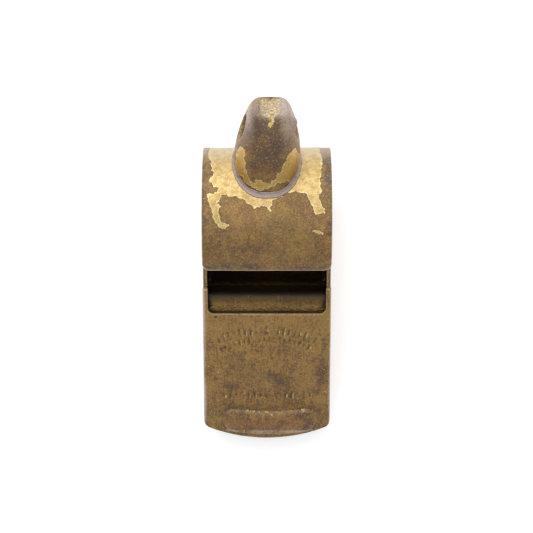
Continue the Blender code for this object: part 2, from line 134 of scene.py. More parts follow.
class WhistleSizes(PropertyGroup):
    """The sizes of the fine surfaces."""

    sheet: length("Sheet", "Thickness of the brass sheet", (SIDE_HIGH[2] - SIDE_LOW[2]) / MM)
    edge_round: length("Edge rounding", "How far in a sheet's worn edge starts to round", 0.2)
    joint_gap: length("Joint gap", "Clearance that the solder fills between two pieces", 0.05)
    body_width: length("Body width", "Across the whistle", (STRIP_HIGH[2] - STRIP_LOW[2]) / MM)
    barrel_radius: length("Barrel radius", "Outside of the barrel", AXIS_Z / MM)
    lip_angle: angle("Lip angle", "The lip's end, forward of the barrel's highest line", 24.9)
    lip_corner: length("Lip corner", "Rounding of the lip's two corners", 1.2)
    floor_slope: angle("Floor slope", "How much the mouthpiece's floor rises towards the tip", 2.5)
    floor_bend: length("Floor bend", "Radius where the barrel turns into the floor, at mid-sheet", 0.9)
    mouth_reach: length("Mouth reach", "From the barrel's axis to the middle of the tip", TOP_HIGH[0] / MM)
    mouth_top: length("Mouth top", "The mouthpiece's top face above the barrel's axis", MOUTH_TOP / MM)
    mouth_height: length("Mouth height", "Outer height at the tip", 6.9)
    tip_arc_radius: length("Tip bow", "Radius of the bowed tip", 22.7)
    tip_corner: length("Tip corner", "Rounding of the tip's two corners", 1.3)
    long_edge_round: length("Long edge rounding", "Rounding along the mouthpiece's top", 0.6)
    grip_length: length("Grip length", "Raised tooth grip, across the whistle", 14.6)
    grip_width: length("Grip width", "Raised tooth grip, along the whistle", 3.9)
    grip_rise: length("Grip rise", "How far the tooth grip stands up", 0.6)
    grip_from_tip: length("Grip from tip", "From the tip to the middle of the grip", 2.75)
    grip_shift: length("Grip shift", "How far the grip stands to one side", 0.4)
    window_front: length("Window front", "Front edge of the window, forward of the barrel's axis", 11.53)
    window_corner: length("Window corner", "Rounding of the window's front corners", 0.9)
    arm_width: length("Arm width", "Width of the top's arms beside the window", 0.8)
    notch_depth: length("Notch depth", "Step in the sides' upper edge at the end of the arms", 0.5)
    ramp_sheet: length("Ramp sheet", "Thickness of the windway ramp", 0.5)
    slot_height: length("Slot height", "Air slot between the ramp and the top", 0.9)
    ramp_flat: length("Ramp flat", "Level stretch of the ramp under the top", 1.5)
    ramp_toe: length("Ramp toe", "From the tip to the end of the ramp's slope", 6.5)
    ramp_foot: length("Ramp foot", "The ramp's foot on the floor", 3.0)
    ramp_bend: length("Ramp bend", "Radius of the ramp's bends", 0.8)
    ramp_lean: angle("Ramp lean", "How far the wall behind the slot leans over the chamber", 10.8)


class LoopSizes(PropertyGroup):
    """The sizes of the hanging loop, its solder and the pea."""

    slant: angle("Slant", "The loop's axis above the level line to the rear", 13.0)
    height: length("Height", "Above the barrel's surface", 9.85)
    base_width: length("Base width", "Across the whistle", 10.1)
    base_length: length("Base length", "Round the barrel", 11.3)
    top_width: length("Top width", "Across the whistle", 3.9)
    top_length: length("Top length", "Along the loop's side view", 4.2)
    fullness: number("Fullness", "2 is an ellipse from the side, more is fuller", 1.7)
    squareness: number("Squareness", "2 is an oval from above, more is squarer", 2.4)
    rear_square: number("Rear squareness", "Added to the squareness at the top's rear", 2.75)
    ring_squareness: number("Ring squareness", "The same for the solder ring", 2.55)
    lean: length("Lean", "How far the loop's top stands to one side", 0.5)
    foot_flare: length("Foot flare", "How far the foot spreads round the barrel", 0.6)
    foot_pinch: length("Foot pinch", "How far the flanks draw in above the solder", 0.35)
    flare_height: length("Flare height", "How fast the spread dies away upwards", 0.9)
    pinch_height: length("Pinch height", "How fast the pinch dies away upwards", 0.5)
    ring_width: length("Solder ring width", "Inside the solder, across the whistle", 9.55)
    ring_length: length("Solder ring length", "Inside the solder, round the barrel", 12.5)
    hole_radius: length("Hole radius", "Radius of the hole for the ring", 1.88)
    hole_height: length("Hole height", "The hole's centre above the barrel's surface", 6.0)
    hole_round: length("Hole rounding", "Worn rounding of the hole's rims", 0.22)
    wear_tilt: angle("Wear tilt", "How far the worn flat at the top turns up", 5.0)
    wear_dish: length("Wear dish", "How far the worn flat is hollowed", 0.35)
    wear_round: length("Wear rounding", "Rounding of the worn flat's rim", 0.85)
    collar_width: length("Collar width", "Solder fillet on the barrel", 0.48)
    collar_height: length("Collar height", "Solder fillet up the loop's foot", 0.38)
    pea_radius: length("Pea radius", "Radius of the cork ball", 5.72)


class WhistleColours(PropertyGroup):
    """The colours of the metals, the cork and the floor."""

    gold: colour("Gold tarnish", "The lighter, yellower tarnish", 0.37, 0.214, 0.063)
    brown: colour("Brown tarnish", "The common brown tarnish", 0.2, 0.112, 0.042)
    olive: colour("Olive tarnish", "Greenish tarnish in the mottles", 0.29, 0.19, 0.055)
    rust: colour("Red tarnish", "Reddish tarnish in faint patches", 0.3, 0.14, 0.065)
    purple: colour("Purple tarnish", "The darkest, purplish tarnish", 0.115, 0.07, 0.05)
    bare: colour("Bare brass", "Rubbed bare brass", 0.6, 0.44, 0.19)
    bare_shade: colour("Dull bare brass", "Bare brass that has begun to dull", 0.46, 0.31, 0.11)
    amber: colour("Deep bare brass", "Warm bare brass that no light falls on straight", 0.6, 0.35, 0.08)
    # Painted highlight: the bright rim where the tarnish ends, and bright glints in the grain and where it is
    # worn.
    bare_highlight: colour("Bare rim", "The bright rim where the tarnish ends", 0.95, 0.8, 0.34)
    # Also the colour of painted highlights: on the tooth grip's upper slope, on the lit sides of the punch marks
    # and on the ramp's crest.
    worn: colour("Worn edge", "Scuffed, greyish metal on edges and on the loop's worn flat", 0.52, 0.375, 0.2)
    # Painted sheen: a pale pinkish-white colour painted where edges, the back of the barrel and the loop's flanks
    # would reflect the bright surround.
    pale_sheen: colour("Haze", "Thin pinkish-white bloom on edges and at the back", 0.55, 0.46, 0.42)
    # Near-black: dirt in the punch marks and seams, and painted shade inside the whistle, in the window, in the
    # loop's hole and round the tooth grip.
    shade_and_grime: colour("Grime", "Dirt in corners and marks", 0.034, 0.026, 0.018)
    solder: colour("Solder", "Soft solder gone dull", 0.37, 0.29, 0.26)
    solder_dark: colour("Dark solder", "Stains on the solder", 0.2, 0.14, 0.12)
    cork: colour("Cork", "Cork ball", 0.42, 0.26, 0.13)
    cork_dark: colour("Cork pits", "Pits in the cork", 0.09, 0.05, 0.03)
    floor: colour("Floor", "Plain pale floor", 0.93, 0.93, 0.93)


# Surfaces ----------------------------------------------------------------------------------------------

WELD = 2e-8  # points this close are one
EDGE_ROWS = 6  # rows of points that round a sheet's edge
EDGE_FULLNESS = 2.4  # 2 rounds an edge as an ellipse, and more makes it fuller
RIPPLES = 8  # sine waves in a random field
HALVINGS = 60  # of the search for the loop's outline
# Steps of each grid
ARC_STEPS = 180  # in a radian of a bend
BARREL_STEPS, BARREL_STEPS_ACROSS = 395, 90
PLATE_STEPS, PLATE_STEPS_ACROSS = 190, 150
ARM_STEPS, ARM_STEPS_ACROSS = 24, 4
SIDE_COLUMNS, SIDE_STEPS_UP = 420, 40
RAMP_STEPS, RAMP_STEPS_ACROSS = 190, 60
LOOP_SECTIONS, FLANK_STEPS, WALL_STEPS, RIM_STEPS = 240, 30, 12, 16
RING_SECTIONS, FILLET_POINTS = 260, 9
PEA_ROWS, PEA_COLUMNS = 101, 200
# Edges that the sizes leave open
GRIP_EDGE = 0.9 * MM  # how far in the tooth grip's edge rises
SIDE_EDGE = 0.12 * MM  # rounding of the sides' edges
SIDE_END = 0.08 * MM  # what each column adds to the distance from a side's two ends
RAMP_EDGE = 0.15 * MM
LEAST_HALF = 0.03 * MM  # half the loop's width where its outline closes


def direction(turn):
    """Unit vectors (forward, up) at angles from forward, turning upwards."""
    return np.stack([np.cos(turn), np.sin(turn)], -1)


def smooth_step(value, low, high):
    """0 below low, 1 above high, and the cubic 3t^2 - 2t^3 between."""
    t = np.clip((value - low) / (high - low), 0, 1)
    return t * t * (3 - 2 * t)


def fade(value, low, high):
    """1 below low, 0 above high, and smooth between."""
    return 1 - smooth_step(value, low, high)


def bell(value, centre, size):
    """A bell curve, exp(-t^2), of the distance from the centre in sizes."""
    return np.exp(-(((value - centre) / size) ** 2))


def ripple(seed, wavelength, *coordinates):
    """A smooth random field of about -1 to 1: 1.6 times the mean of sine waves in random directions."""
    rng = np.random.default_rng(seed)
    total = 0.0
    for _ in range(RIPPLES):
        heading = rng.normal(size=len(coordinates))
        heading *= rng.uniform(0.6, 1.6) / np.linalg.norm(heading)
        phase = sum(h * c for h, c in zip(heading, coordinates))
        total = total + np.sin(math.tau * phase / wavelength + rng.uniform(0, math.tau))
    return 1.6 * total / RIPPLES


def blob(a, b, centre_a, centre_b, size_a, size_b):
    """A soft round spot: 1 at the centre and a bell curve each way."""
    return np.exp(-(((a - centre_a) / size_a) ** 2) - ((b - centre_b) / size_b) ** 2)


def rise(distance, reach):
    """A rounded edge's share of full thickness: a superellipse quarter from 0 at the edge to 1 at reach."""
    short = 1 - np.clip(distance / reach, 0, 1)
    return (1 - short**EDGE_FULLNESS) ** (1 / EDGE_FULLNESS)


def spaced(start, end, reach, steps):
    """Values from start to end: squares of even steps within reach of both ends, and even steps between."""
    start, end = np.broadcast_arrays(start, end)
    band = reach * (np.arange(EDGE_ROWS) / EDGE_ROWS) ** 2
    inner = np.linspace(0, 1, steps + 1)
    shape = (-1,) + (1,) * start.ndim
    return np.concatenate(
        [
            start + band.reshape(shape),
            start + reach + (end - start - 2 * reach) * inner.reshape(shape),
            end - band[::-1].reshape(shape),
        ]
    )


def arc_stretch(centre, radius, start, end, outward):
    """Points and normals along an arc. outward is 1 where the normal leaves the centre, and -1 where not."""
    turns = np.linspace(start, end, max(2, round(abs(end - start) * ARC_STEPS)))
    return np.asarray(centre) + radius * direction(turns), outward * direction(turns)


def line_stretch(start, end):
    """Points and normals along a line, with the normal on its right."""
    along = (end - start) / np.linalg.norm(end - start)
    normal = np.array([along[1], -along[0]])
    return np.array([start, end]), np.array([normal, normal])


def track(stretches):
    """Stretches joined into one line that can be read at any distance from its start."""
    points = np.concatenate([s[0] for s in stretches])
    normals = np.concatenate([s[1] for s in stretches])
    steps = np.linalg.norm(np.diff(points, axis=0), axis=1)
    return np.concatenate([[0], np.cumsum(steps)]), points, normals


def read_track(line, distance, offset):
    """(forward, up) at a distance along the line, moved off it along the normal."""
    reach, points, normals = line
    at = [np.interp(distance, reach, points[:, i]) for i in (0, 1)]
    off = [np.interp(distance, reach, normals[:, i]) for i in (0, 1)]
    size = np.hypot(*off)
    return at[0] + offset * off[0] / size, at[1] + offset * off[1] / size


def weld(points, quads, fields):
    """Points that coincide made one, and quads that have collapsed made triangles or dropped."""
    keys = np.round(points / WELD).astype(np.int64)
    _, first, index = np.unique(keys, axis=0, return_index=True, return_inverse=True)
    quads = index.reshape(-1)[quads]
    same = quads == np.roll(quads, -1, axis=1)
    crossed = (quads[:, 0] == quads[:, 2]) | (quads[:, 1] == quads[:, 3])
    count = same.sum(1)
    whole = quads[(count == 0) & ~crossed]
    part = (count == 1) & ~crossed
    corners = quads[part][~same[part]].reshape(-1, 3)
    return points[first], whole, corners, {name: values[first] for name, values in fields.items()}


def grid_quads(rows, columns, wrap_rows=False, wrap_columns=False):
    """The quads of a grid of points, which may close on itself either way."""
    index = np.arange(rows * columns).reshape(rows, columns)
    if wrap_rows:
        index = np.concatenate([index, index[:1]], axis=0)
    if wrap_columns:
        index = np.concatenate([index, index[:, :1]], axis=1)
    corners = [index[:-1, :-1], index[1:, :-1], index[1:, 1:], index[:-1, 1:]]
    return np.stack([c.reshape(-1) for c in corners], -1)


def outward(points, quads, triangles):
    """The same faces, turned round if the volume that they close is negative."""
    fans = np.concatenate([quads[:, [0, 1, 2]], quads[:, [0, 2, 3]], triangles])
    if np.linalg.det(points[fans] - points.mean(0)).sum() < 0:
        return quads[:, ::-1], triangles[:, ::-1]
    return quads, triangles


def make_piece(name, node, body, points, quads, fields, material):
    """A smooth closed mesh that stands for a CAD node, with its fields as point attributes."""
    points, quads, triangles, fields = weld(points, quads, fields)
    quads, triangles = outward(points, quads, triangles)
    mesh = bpy.data.meshes.new(name)
    mesh.from_pydata(points.tolist(), [], quads.tolist() + triangles.tolist())
    for field, values in fields.items():
        attribute = mesh.attributes.new(field, "FLOAT", "POINT")
        attribute.data.foreach_set("value", values.astype(np.float32))
    mesh.shade_smooth()
    mesh.materials.append(material)
    piece = bpy.data.objects.new(name, mesh)
    bpy.context.scene.collection.objects.link(piece)
    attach(piece, body)
    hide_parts(node)


def sheet_mesh(patches, place, half, edge_distance, edge_round, relief, fields, meeting=None):
    """A sheet with rounded edges. Each patch is a grid (a, b) on the flat pattern, and place(a, b, offset)
    bends it. The outer face lies half a sheet out plus relief(a, b), the inner face half a sheet in, and both
    close to the level meeting(a, b) at the edges, where they join. Each field is a function of a, b, the
    distance from the edge, and the face, which is 1 outside and -1 inside."""
    points, quads, values, count = [], [], {name: [] for name in fields}, 0
    for a, b in patches:
        distance = edge_distance(a, b)
        share = np.where(distance < 1e-9, 0.0, rise(distance, edge_round(a, b)))
        level = meeting(a, b) if meeting else 0.0
        for face in (1, -1):
            offset = level + (face * half - level) * share
            if face > 0:
                offset = offset + relief(a, b) * share
            points.append(place(a, b, offset).reshape(-1, 3))
            faces = grid_quads(*a.shape) + count
            quads.append(faces if face > 0 else faces[:, ::-1])
            count += a.size
            for name, field in fields.items():
                values[name].append(np.broadcast_to(field(a, b, distance, face), a.shape).reshape(-1))
    return (
        np.concatenate(points),
        np.concatenate(quads),
        {name: np.concatenate(parts) for name, parts in values.items()},
    )


def grip_distance(sizes, along, across):
    """Distance inside the tooth grip, positive inside: a pill across the whistle that bows with the tip."""
    across = across - sizes.grip_shift
    straight = (sizes.grip_length - sizes.grip_width) / 2
    bowed = along + 0.35 * across**2 / sizes.tip_arc_radius
    return sizes.grip_width / 2 - np.hypot(bowed, np.maximum(np.abs(across) - straight, 0))


def inside_outline(corners, x, y):
    """Distance inside a closed outline of corners, positive inside and negative outside."""
    corners = np.asarray(corners, float)
    nearest = np.full(x.shape, np.inf)
    crossings = np.zeros(x.shape, bool)
    for (x1, y1), (x2, y2) in zip(corners, np.roll(corners, -1, axis=0)):
        run, climb = x2 - x1, y2 - y1
        share = np.clip(((x - x1) * run + (y - y1) * climb) / (run * run + climb * climb), 0, 1)
        nearest = np.minimum(nearest, np.hypot(x - x1 - share * run, y - y1 - share * climb))
        if climb:
            crossings ^= ((y1 > y) != (y2 > y)) & (x < x1 + (y - y1) * run / climb)
    return np.where(crossings, nearest, -nearest)


# Materials ---------------------------------------------------------------------------------------------


class Shader:
    """Short names for the nodes of one material."""

    def __init__(self, name):
        self.material = bpy.data.materials.new(name)
        self.material.use_nodes = True
        self.tree = self.material.node_tree
        self.surface = self.tree.nodes["Principled BSDF"]
        self.place = self.node("ShaderNodeTexCoord").outputs["Object"]

    def node(self, kind, inputs=(), **settings):
        made = self.tree.nodes.new(kind)
        for name, value in settings.items():
            setattr(made, name, value)
        for name, value in dict(inputs).items():
            self.put(value, made.inputs[name])
        return made

    def put(self, value, socket):
        if isinstance(value, bpy.types.NodeSocket):
            self.tree.links.new(value, socket)
        elif hasattr(value, "__len__") and socket.type == "RGBA":
            socket.default_value = (*value, 1.0)
        else:
            socket.default_value = value

    def noise(self, size, detail=4.0, rough=0.55, seed=0.0, stretch=(1, 1, 1), turn=0.0):
        """Noise with features of a size in metres, stretched along turned axes."""
        shift = (0.013 * seed, 0.029 * seed, 0.017 * seed)
        moved = self.node(
            "ShaderNodeMapping",
            {"Vector": self.place, "Location": shift, "Rotation": (0, 0, turn), "Scale": stretch},
        )
        inputs = {"Vector": moved.outputs[0], "Scale": 1 / size, "Detail": detail, "Roughness": rough}
        return self.node("ShaderNodeTexNoise", inputs).outputs[0]

    def step(self, value, low, high, top=1.0):
        """A smooth rise of value from 0 at low to top at high."""
        inputs = {"Value": value, "From Min": low, "From Max": high, "To Min": 0.0, "To Max": top}
        return self.node("ShaderNodeMapRange", inputs, interpolation_type="SMOOTHSTEP").outputs[0]

    def calc(self, operation, first, second=0.0):
        made = self.node("ShaderNodeMath", operation=operation)
        self.put(first, made.inputs[0])
        self.put(second, made.inputs[1])
        return made.outputs[0]

    def blend(self, amount, first, second):
        made = self.node("ShaderNodeMix", data_type="RGBA")
        self.put(amount, made.inputs[0])
        self.put(first, made.inputs[6])
        self.put(second, made.inputs[7])
        return made.outputs[2]

    def field(self, name):
        return self.node("ShaderNodeAttribute", attribute_name=name).outputs["Fac"]

    def bumps(self, *layers):
        """Bump layers (height, distance in metres), one on another, on the surface's normal."""
        normal = None
        for height, distance in layers:
            made = self.node("ShaderNodeBump", {"Height": height, "Distance": distance, "Strength": 1.0})
            if normal is not None:
                self.put(normal, made.inputs["Normal"])
            normal = made.outputs[0]
        self.put(normal, self.surface.inputs["Normal"])

    def finish(self, colour, roughness, metallic):
        self.put(colour, self.surface.inputs["Base Color"])
        self.put(roughness, self.surface.inputs["Roughness"])
        self.put(metallic, self.surface.inputs["Metallic"])
        return self.material


def scratches(shader, size, turn, seed):
    """Sparse fine lines one way: where stretched noise crosses its middle value, on part of the surface."""
    lines = shader.noise(size, 1.0, 0.4, seed, (1, 0.05, 0.05), turn)
    near = shader.calc("ABSOLUTE", shader.calc("SUBTRACT", lines, 0.5))
    line = shader.calc("SUBTRACT", 1.0, shader.step(near, 0.003, 0.012))
    return shader.calc("MULTIPLY", line, shader.step(shader.noise(2.2 * MM, 2.0, 0.5, seed + 5), 0.55, 0.65))


def tarnish_colour(shader, colours, seed, gold, brushed, crisp, fine_share):
    """Brown and gold mottles, olive and red clouds, purple stains, and dark and bright specks, which are partly
    grain and partly painted glints and shade of a rough surface, and the noises that the rest of the brass shares.
    The field stain moves the purple in or out, and red comes from the field that also carries the painted sheen."""
    blotch = shader.noise(3.8 * MM, 6.0, 0.62, seed)
    mottle = shader.noise(0.9 * MM, 6.0, 0.7, seed + 1)
    grain = shader.noise(0.3 * MM, 4.0, 0.65, seed + 2)
    cloud = shader.noise(4.5 * MM, 3.0, 0.55, seed + 8)
    stain = shader.noise(2.4 * MM, 6.0, 0.72, seed + 3)
    speck = shader.noise(0.24 * MM, 2.0, 0.5, seed + 9)
    middle, reach = 0.505 - 0.14 * (gold - 0.5), 0.075 / crisp
    stain_field = shader.field("stain")
    streak = shader.noise(0.25 * MM, 4.0, 0.6, seed + 10, (1, 0.13, 0.13))
    grain_share = 0.2 + fine_share - brushed
    shares = ((blotch, 0.55 - fine_share), (mottle, 0.25), (grain, grain_share), (streak, brushed))
    parts = [shader.calc("MULTIPLY", part, share) for part, share in shares]
    mixed = shader.calc("ADD", shader.calc("ADD", parts[0], parts[1]), shader.calc("ADD", parts[2], parts[3]))
    mixed = shader.calc("SUBTRACT", mixed, shader.calc("MULTIPLY", stain_field, 0.03))
    tone = shader.blend(shader.step(mixed, middle - reach, middle + reach), colours.brown, colours.gold)
    tone = shader.blend(shader.step(cloud, 0.5, 0.6, 0.35), tone, colours.olive)
    tone = shader.blend(shader.step(cloud, 0.42, 0.34, 0.3), tone, colours.rust)
    tone = shader.blend(shader.step(mixed, middle + 0.045, middle + 0.16, 0.6), tone, colours.bare_shade)
    tone = shader.blend(shader.step(shader.field("rust_and_sheen"), 0.0, 1.0, 0.75), tone, colours.rust)
    shift = shader.calc("MULTIPLY", stain_field, 0.15)
    stained = shader.calc("ADD", shader.calc("MULTIPLY", stain, 0.7), shift)
    tone = shader.blend(shader.step(stained, 0.37, 0.53, 0.9), tone, colours.purple)
    # Dark and bright specks: grain, and partly painted glints and shade of a rough surface.
    tone = shader.blend(shader.step(speck, 0.44, 0.3, 0.55), tone, colours.purple)
    return shader.blend(shader.step(speck, 0.54, 0.7, 0.7), tone, colours.bare_shade), mottle, grain, speck


def aged_brass(
    name, colours, seed, gold, sheen=0.35, brushed=0.05, bare_shading=0.0, crisp=1.0, relief=1.0, fine_share=0.15,
    pitted=0.2,
):
    """Tarnished brass. The field bare is the distance inside rubbed patches in millimetres; it also carries
    painted highlights, on the lit sides of the punch marks, along the tooth grip's upper edge and on the ramp's
    crest. From 0 to 1, wear is rubbing on edges and on the loop's worn flat, with painted highlights on the tooth
    grip, the punch marks' lit sides and the ramp's crest, and grime is dirt in marks and painted shade inside the
    whistle, in the window, in the loop's hole and round the tooth grip. The red field is red tarnish above 0 and,
    below it, painted pale sheen where surfaces would reflect the bright surround.

    gold is the share of light tarnish, sheen a clear coat's weight, brushed the share of fine streaks, dulled the
    share of bare metal painted in the deeper, warmer colour of bare brass out of direct light (painted shade),
    crisp how hard the mottles' edges are, relief the depth of the bumps, fine_share the share of fine mottles, and
    pitted how strong the specks are where it is worn."""
    shader = Shader(name)
    tarnish, mottle, grain, speck = tarnish_colour(shader, colours, seed, gold, brushed, crisp, fine_share)
    rubbed = shader.calc("ADD", 0.45, shader.step(grain, 0.3, 0.6, 0.55))
    # Rubbing on edges and the loop's worn flat, and painted highlights where light would catch a slope or edge.
    worn = shader.calc("MULTIPLY", shader.field("wear_and_highlight"), rubbed)
    tarnish = shader.blend(shader.step(worn, 0.1, 0.9, 0.9), tarnish, colours.worn)
    for low, high, fleck in ((0.47, 0.36, colours.brown), (0.52, 0.62, colours.bare_highlight)):
        flecks = shader.calc("MULTIPLY", shader.step(speck, low, high, 0.8 * pitted), worn)
        tarnish = shader.blend(flecks, tarnish, fleck)
    # Darkened where that field is up: painted shade inside and in hollows, and dirt in marks.
    darkening = shader.calc("MULTIPLY", shader.field("shade_and_grime"), shader.step(grain, 0.1, 0.4))
    tarnish = shader.blend(shader.step(darkening, 0.05, 0.95, 0.97), tarnish, colours.shade_and_grime)

    coarse = shader.calc("SUBTRACT", shader.noise(0.9 * MM, 5.0, 0.65, seed + 4), 0.5)
    fine = shader.calc("SUBTRACT", grain, 0.5)
    ragged = shader.calc("ADD", shader.calc("MULTIPLY", coarse, 1.5), shader.calc("MULTIPLY", fine, 0.35))
    edge = shader.calc("ADD", shader.field("bare"), ragged)
    bare = shader.step(edge, -0.02, 0.04)
    # Painted shadow: a dark line just outside each rubbed patch, below the edge of the thicker tarnish.
    tarnish = shader.blend(shader.step(edge, -0.22, -0.02, 0.5), tarnish, colours.purple)
    # Painted highlight: a bright rim just inside each rubbed patch, where light catches the tarnish's edge.
    rim = shader.calc("MULTIPLY", shader.step(edge, 0.2, 0.04), bare)
    metal = shader.blend(shader.step(mottle, 0.42, 0.6, 0.9), colours.bare, colours.bare_shade)
    # Painted shade: part of the bare metal takes the deeper, warmer colour of bare brass where no light falls on
    # it straight.
    metal = shader.blend(bare_shading, metal, colours.amber)
    # Bright grains on the bare metal: partly painted glints.
    metal = shader.blend(shader.step(grain, 0.36, 0.24, 0.6), metal, colours.bare_highlight)
    metal = shader.blend(shader.step(grain, 0.56, 0.7, 0.5), metal, colours.gold)
    metal = shader.blend(shader.calc("MULTIPLY", rim, 0.8), metal, colours.bare_highlight)

    lines = shader.calc(
        "MAXIMUM", scratches(shader, 0.5 * MM, 0.9, seed + 6), scratches(shader, 0.6 * MM, -0.6, seed + 7)
    )
    colour_out = shader.blend(bare, tarnish, metal)
    colour_out = shader.blend(shader.calc("MULTIPLY", lines, 0.4), colour_out, colours.bare_shade)
    # Painted sheen: where the red field goes below 0, a pale reflection of the bright surround is painted over the
    # colour.
    sheen_share = shader.step(shader.field("rust_and_sheen"), 0.0, -1.0)
    pale_sheen = shader.calc("MULTIPLY", shader.step(grain, 0.2, 0.55), sheen_share)
    colour_out = shader.blend(pale_sheen, colour_out, colours.pale_sheen)
    rough = shader.calc("ADD", 0.4, shader.calc("MULTIPLY", mottle, 0.25))
    rough = shader.calc("SUBTRACT", rough, shader.calc("MULTIPLY", bare, 0.15))
    metallic = shader.calc("ADD", 0.75, shader.calc("MULTIPLY", bare, 0.25))
    shader.surface.inputs["Coat Weight"].default_value = sheen
    shader.surface.inputs["Coat Roughness"].default_value = 0.35
    depth = 0.07 * MM * relief
    shader.bumps((mottle, depth), (grain, depth), (lines, -0.01 * MM), (bare, -0.03 * MM))
    return shader.finish(colour_out, rough, metallic)


def dull_solder(name, colours, darkness=0.0):
    """Grey-lilac soft solder: soft mottles, brown stains and fine pits. darkness is the share of grime."""
    shader = Shader(name)
    cloud = shader.noise(0.9 * MM, 4.0, 0.55, 11)
    stain = shader.noise(1.6 * MM, 5.0, 0.65, 12)
    pits = shader.noise(0.16 * MM, 2.0, 0.5, 13)
    tone = shader.blend(shader.step(stain, 0.48, 0.68, 0.7), colours.solder, colours.solder_dark)
    tone = shader.blend(shader.step(cloud, 0.62, 0.75, 0.5), tone, colours.bare_shade)
    tone = shader.blend(shader.step(pits, 0.44, 0.3, 0.8), tone, colours.solder_dark)
    # Pale flecks in the sheen colour: painted glints on the solder.
    tone = shader.blend(shader.step(pits, 0.55, 0.68, 0.6), tone, colours.pale_sheen)
    tone = shader.blend(darkness, tone, colours.shade_and_grime)
    shader.bumps((cloud, 0.04 * MM), (pits, 0.015 * MM))
    return shader.finish(tone, shader.calc("ADD", 0.4, shader.calc("MULTIPLY", cloud, 0.25)), 0.75)


def natural_cork(name, colours):
    """Cork: warm grains of several sizes, with dark pits."""
    shader = Shader(name)
    grain = shader.noise(1.1 * MM, 6.0, 0.65, 21)
    pits = shader.noise(0.7 * MM, 3.0, 0.5, 22)
    hollow = shader.step(pits, 0.36, 0.28)
    tone = shader.blend(shader.step(grain, 0.35, 0.7, 0.6), colours.cork, colours.brown)
    tone = shader.blend(hollow, tone, colours.cork_dark)
    shader.bumps((grain, 0.08 * MM), (hollow, -0.15 * MM))
    return shader.finish(tone, 0.9, 0.0)


# The whistle's lines -----------------------------------------------------------------------------------


def strip_track(sizes):
    """The strip at mid-sheet: round the barrel from the lip, through the bend, and along the floor."""
    middle = sizes.barrel_radius - sizes.sheet / 2
    up = direction(sizes.floor_slope + math.pi / 2)
    tip = np.array([sizes.mouth_reach, sizes.mouth_top - sizes.mouth_height + sizes.sheet / 2])
    throat = sizes.floor_slope + math.asin((up @ tip - sizes.floor_bend) / (middle + sizes.floor_bend))
    centre = (middle + sizes.floor_bend) * direction(throat)
    leave = centre + sizes.floor_bend * up
    return track(
        [
            arc_stretch((0, 0), middle, math.pi / 2 - sizes.lip_angle, math.tau + throat, 1),
            arc_stretch(centre, sizes.floor_bend, math.pi + throat, math.pi / 2 + sizes.floor_slope, -1),
            line_stretch(leave, tip),
        ]
    )


def tip_forward(sizes, across):
    """How far forward the bowed tip lies: a wide arc that turns into a small one at each corner."""
    bow, corner, half = sizes.tip_arc_radius, sizes.tip_corner, sizes.body_width / 2
    side = np.abs(across)
    centre = sizes.mouth_reach - bow
    corner_side = half - corner
    corner_forward = centre + math.sqrt((bow - corner) ** 2 - corner_side**2)
    wide = centre + np.sqrt(bow**2 - side**2)
    small = corner_forward + np.sqrt(np.maximum(corner**2 - (side - corner_side) ** 2, 0))
    return np.where(side > corner_side * bow / (bow - corner), small, wide)


def slope_share(values, across):
    """How much shorter the square distance to a curved edge is than the distance along the sheet."""
    slope = np.gradient(values, across)
    return 1 / np.hypot(1, slope)


def corner_cut(reach, corner):
    """How far a rounded corner cuts back, at a distance from the side."""
    inside = np.maximum(corner - reach, 0)
    return corner - np.sqrt(np.maximum(corner**2 - inside**2, 0))


def world_arc(sizes, distance):
    """Distance round the barrel from its highest line as it lies, positive to the rear."""
    middle = sizes.barrel_radius - sizes.sheet / 2
    turn = math.pi / 2 - sizes.lip_angle + distance / middle
    return sizes.barrel_radius * (turn - TILT - math.pi / 2)


# Outlines of rubbed patches, in millimetres: (across, round the barrel from the top line) on
# the barrel, and (across, world y) on the loop's foot.
NOT_BARE = -2.0  # far outside every patch
RUBBED_PATCH = [
    (-8.9, 14.6), (-8.7, 10.3), (-8.4, 8.2), (-8.1, 6.8), (-8.6, 5.5), (-8.1, 4.5), (-7.2, 4.3), (-7.3, 3.7),
    (-8.9, 3.4), (-8.8, 2.4), (-8.3, 1.1), (-8.0, -0.2), (-7.3, -1.4), (-6.1, -2.3), (-5.9, -1.3),
    (-6.9, -0.8), (-7.1, 0.7), (-7.2, 2.0), (-6.8, 3.2), (-5.8, 3.2), (-5.9, 2.8), (-4.6, 3.1), (-3.5, 2.5),
    (-2.7, 1.8), (-1.9, 1.1), (-0.8, 1.5), (0.5, 0.9), (0.8, 2.3), (3.0, 3.5), (4.8, 3.7), (6.0, 3.2),
    (6.4, 2.0), (6.9, 1.1), (7.2, 0.2), (8.6, 0.5), (8.7, 1.1), (8.0, 2.0), (7.9, 2.9), (8.1, 4.2),
    (8.0, 5.7), (8.2, 7.6), (8.4, 9.5), (8.1, 12.1), (8.0, 14.6), (7.0, 16.6), (5.9, 16.1), (4.6, 17.8),
    (3.1, 16.9), (1.6, 18.6), (0.2, 17.7), (-1.5, 18.9), (-3.4, 17.2), (-4.4, 18.1), (-5.8, 16.2),
    (-7.4, 16.7),
]
RUBBED_FOOT = [
    (-3.8, 18.6), (-3.3, 18.1), (-3.2, 15.1), (-2.65, 14.3), (-2.5, 13.4), (-1.7, 13.0), (-1.55, 13.4),
    (-0.8, 13.7), (0.0, 13.1), (0.9, 13.4), (1.4, 14.1), (2.3, 14.9), (2.2, 15.6), (2.8, 16.2), (3.1, 17.7),
    (3.7, 18.4), (4.5, 18.0), (5.4, 17.2), (5.2, 15.4), (4.3, 14.0), (3.4, 13.3), (2.4, 13.3), (1.3, 13.0),
    (0.45, 12.3), (-0.6, 12.0), (-1.7, 12.0), (-2.9, 13.0), (-4.3, 14.4), (-4.8, 16.0), (-4.4, 18.4),
]


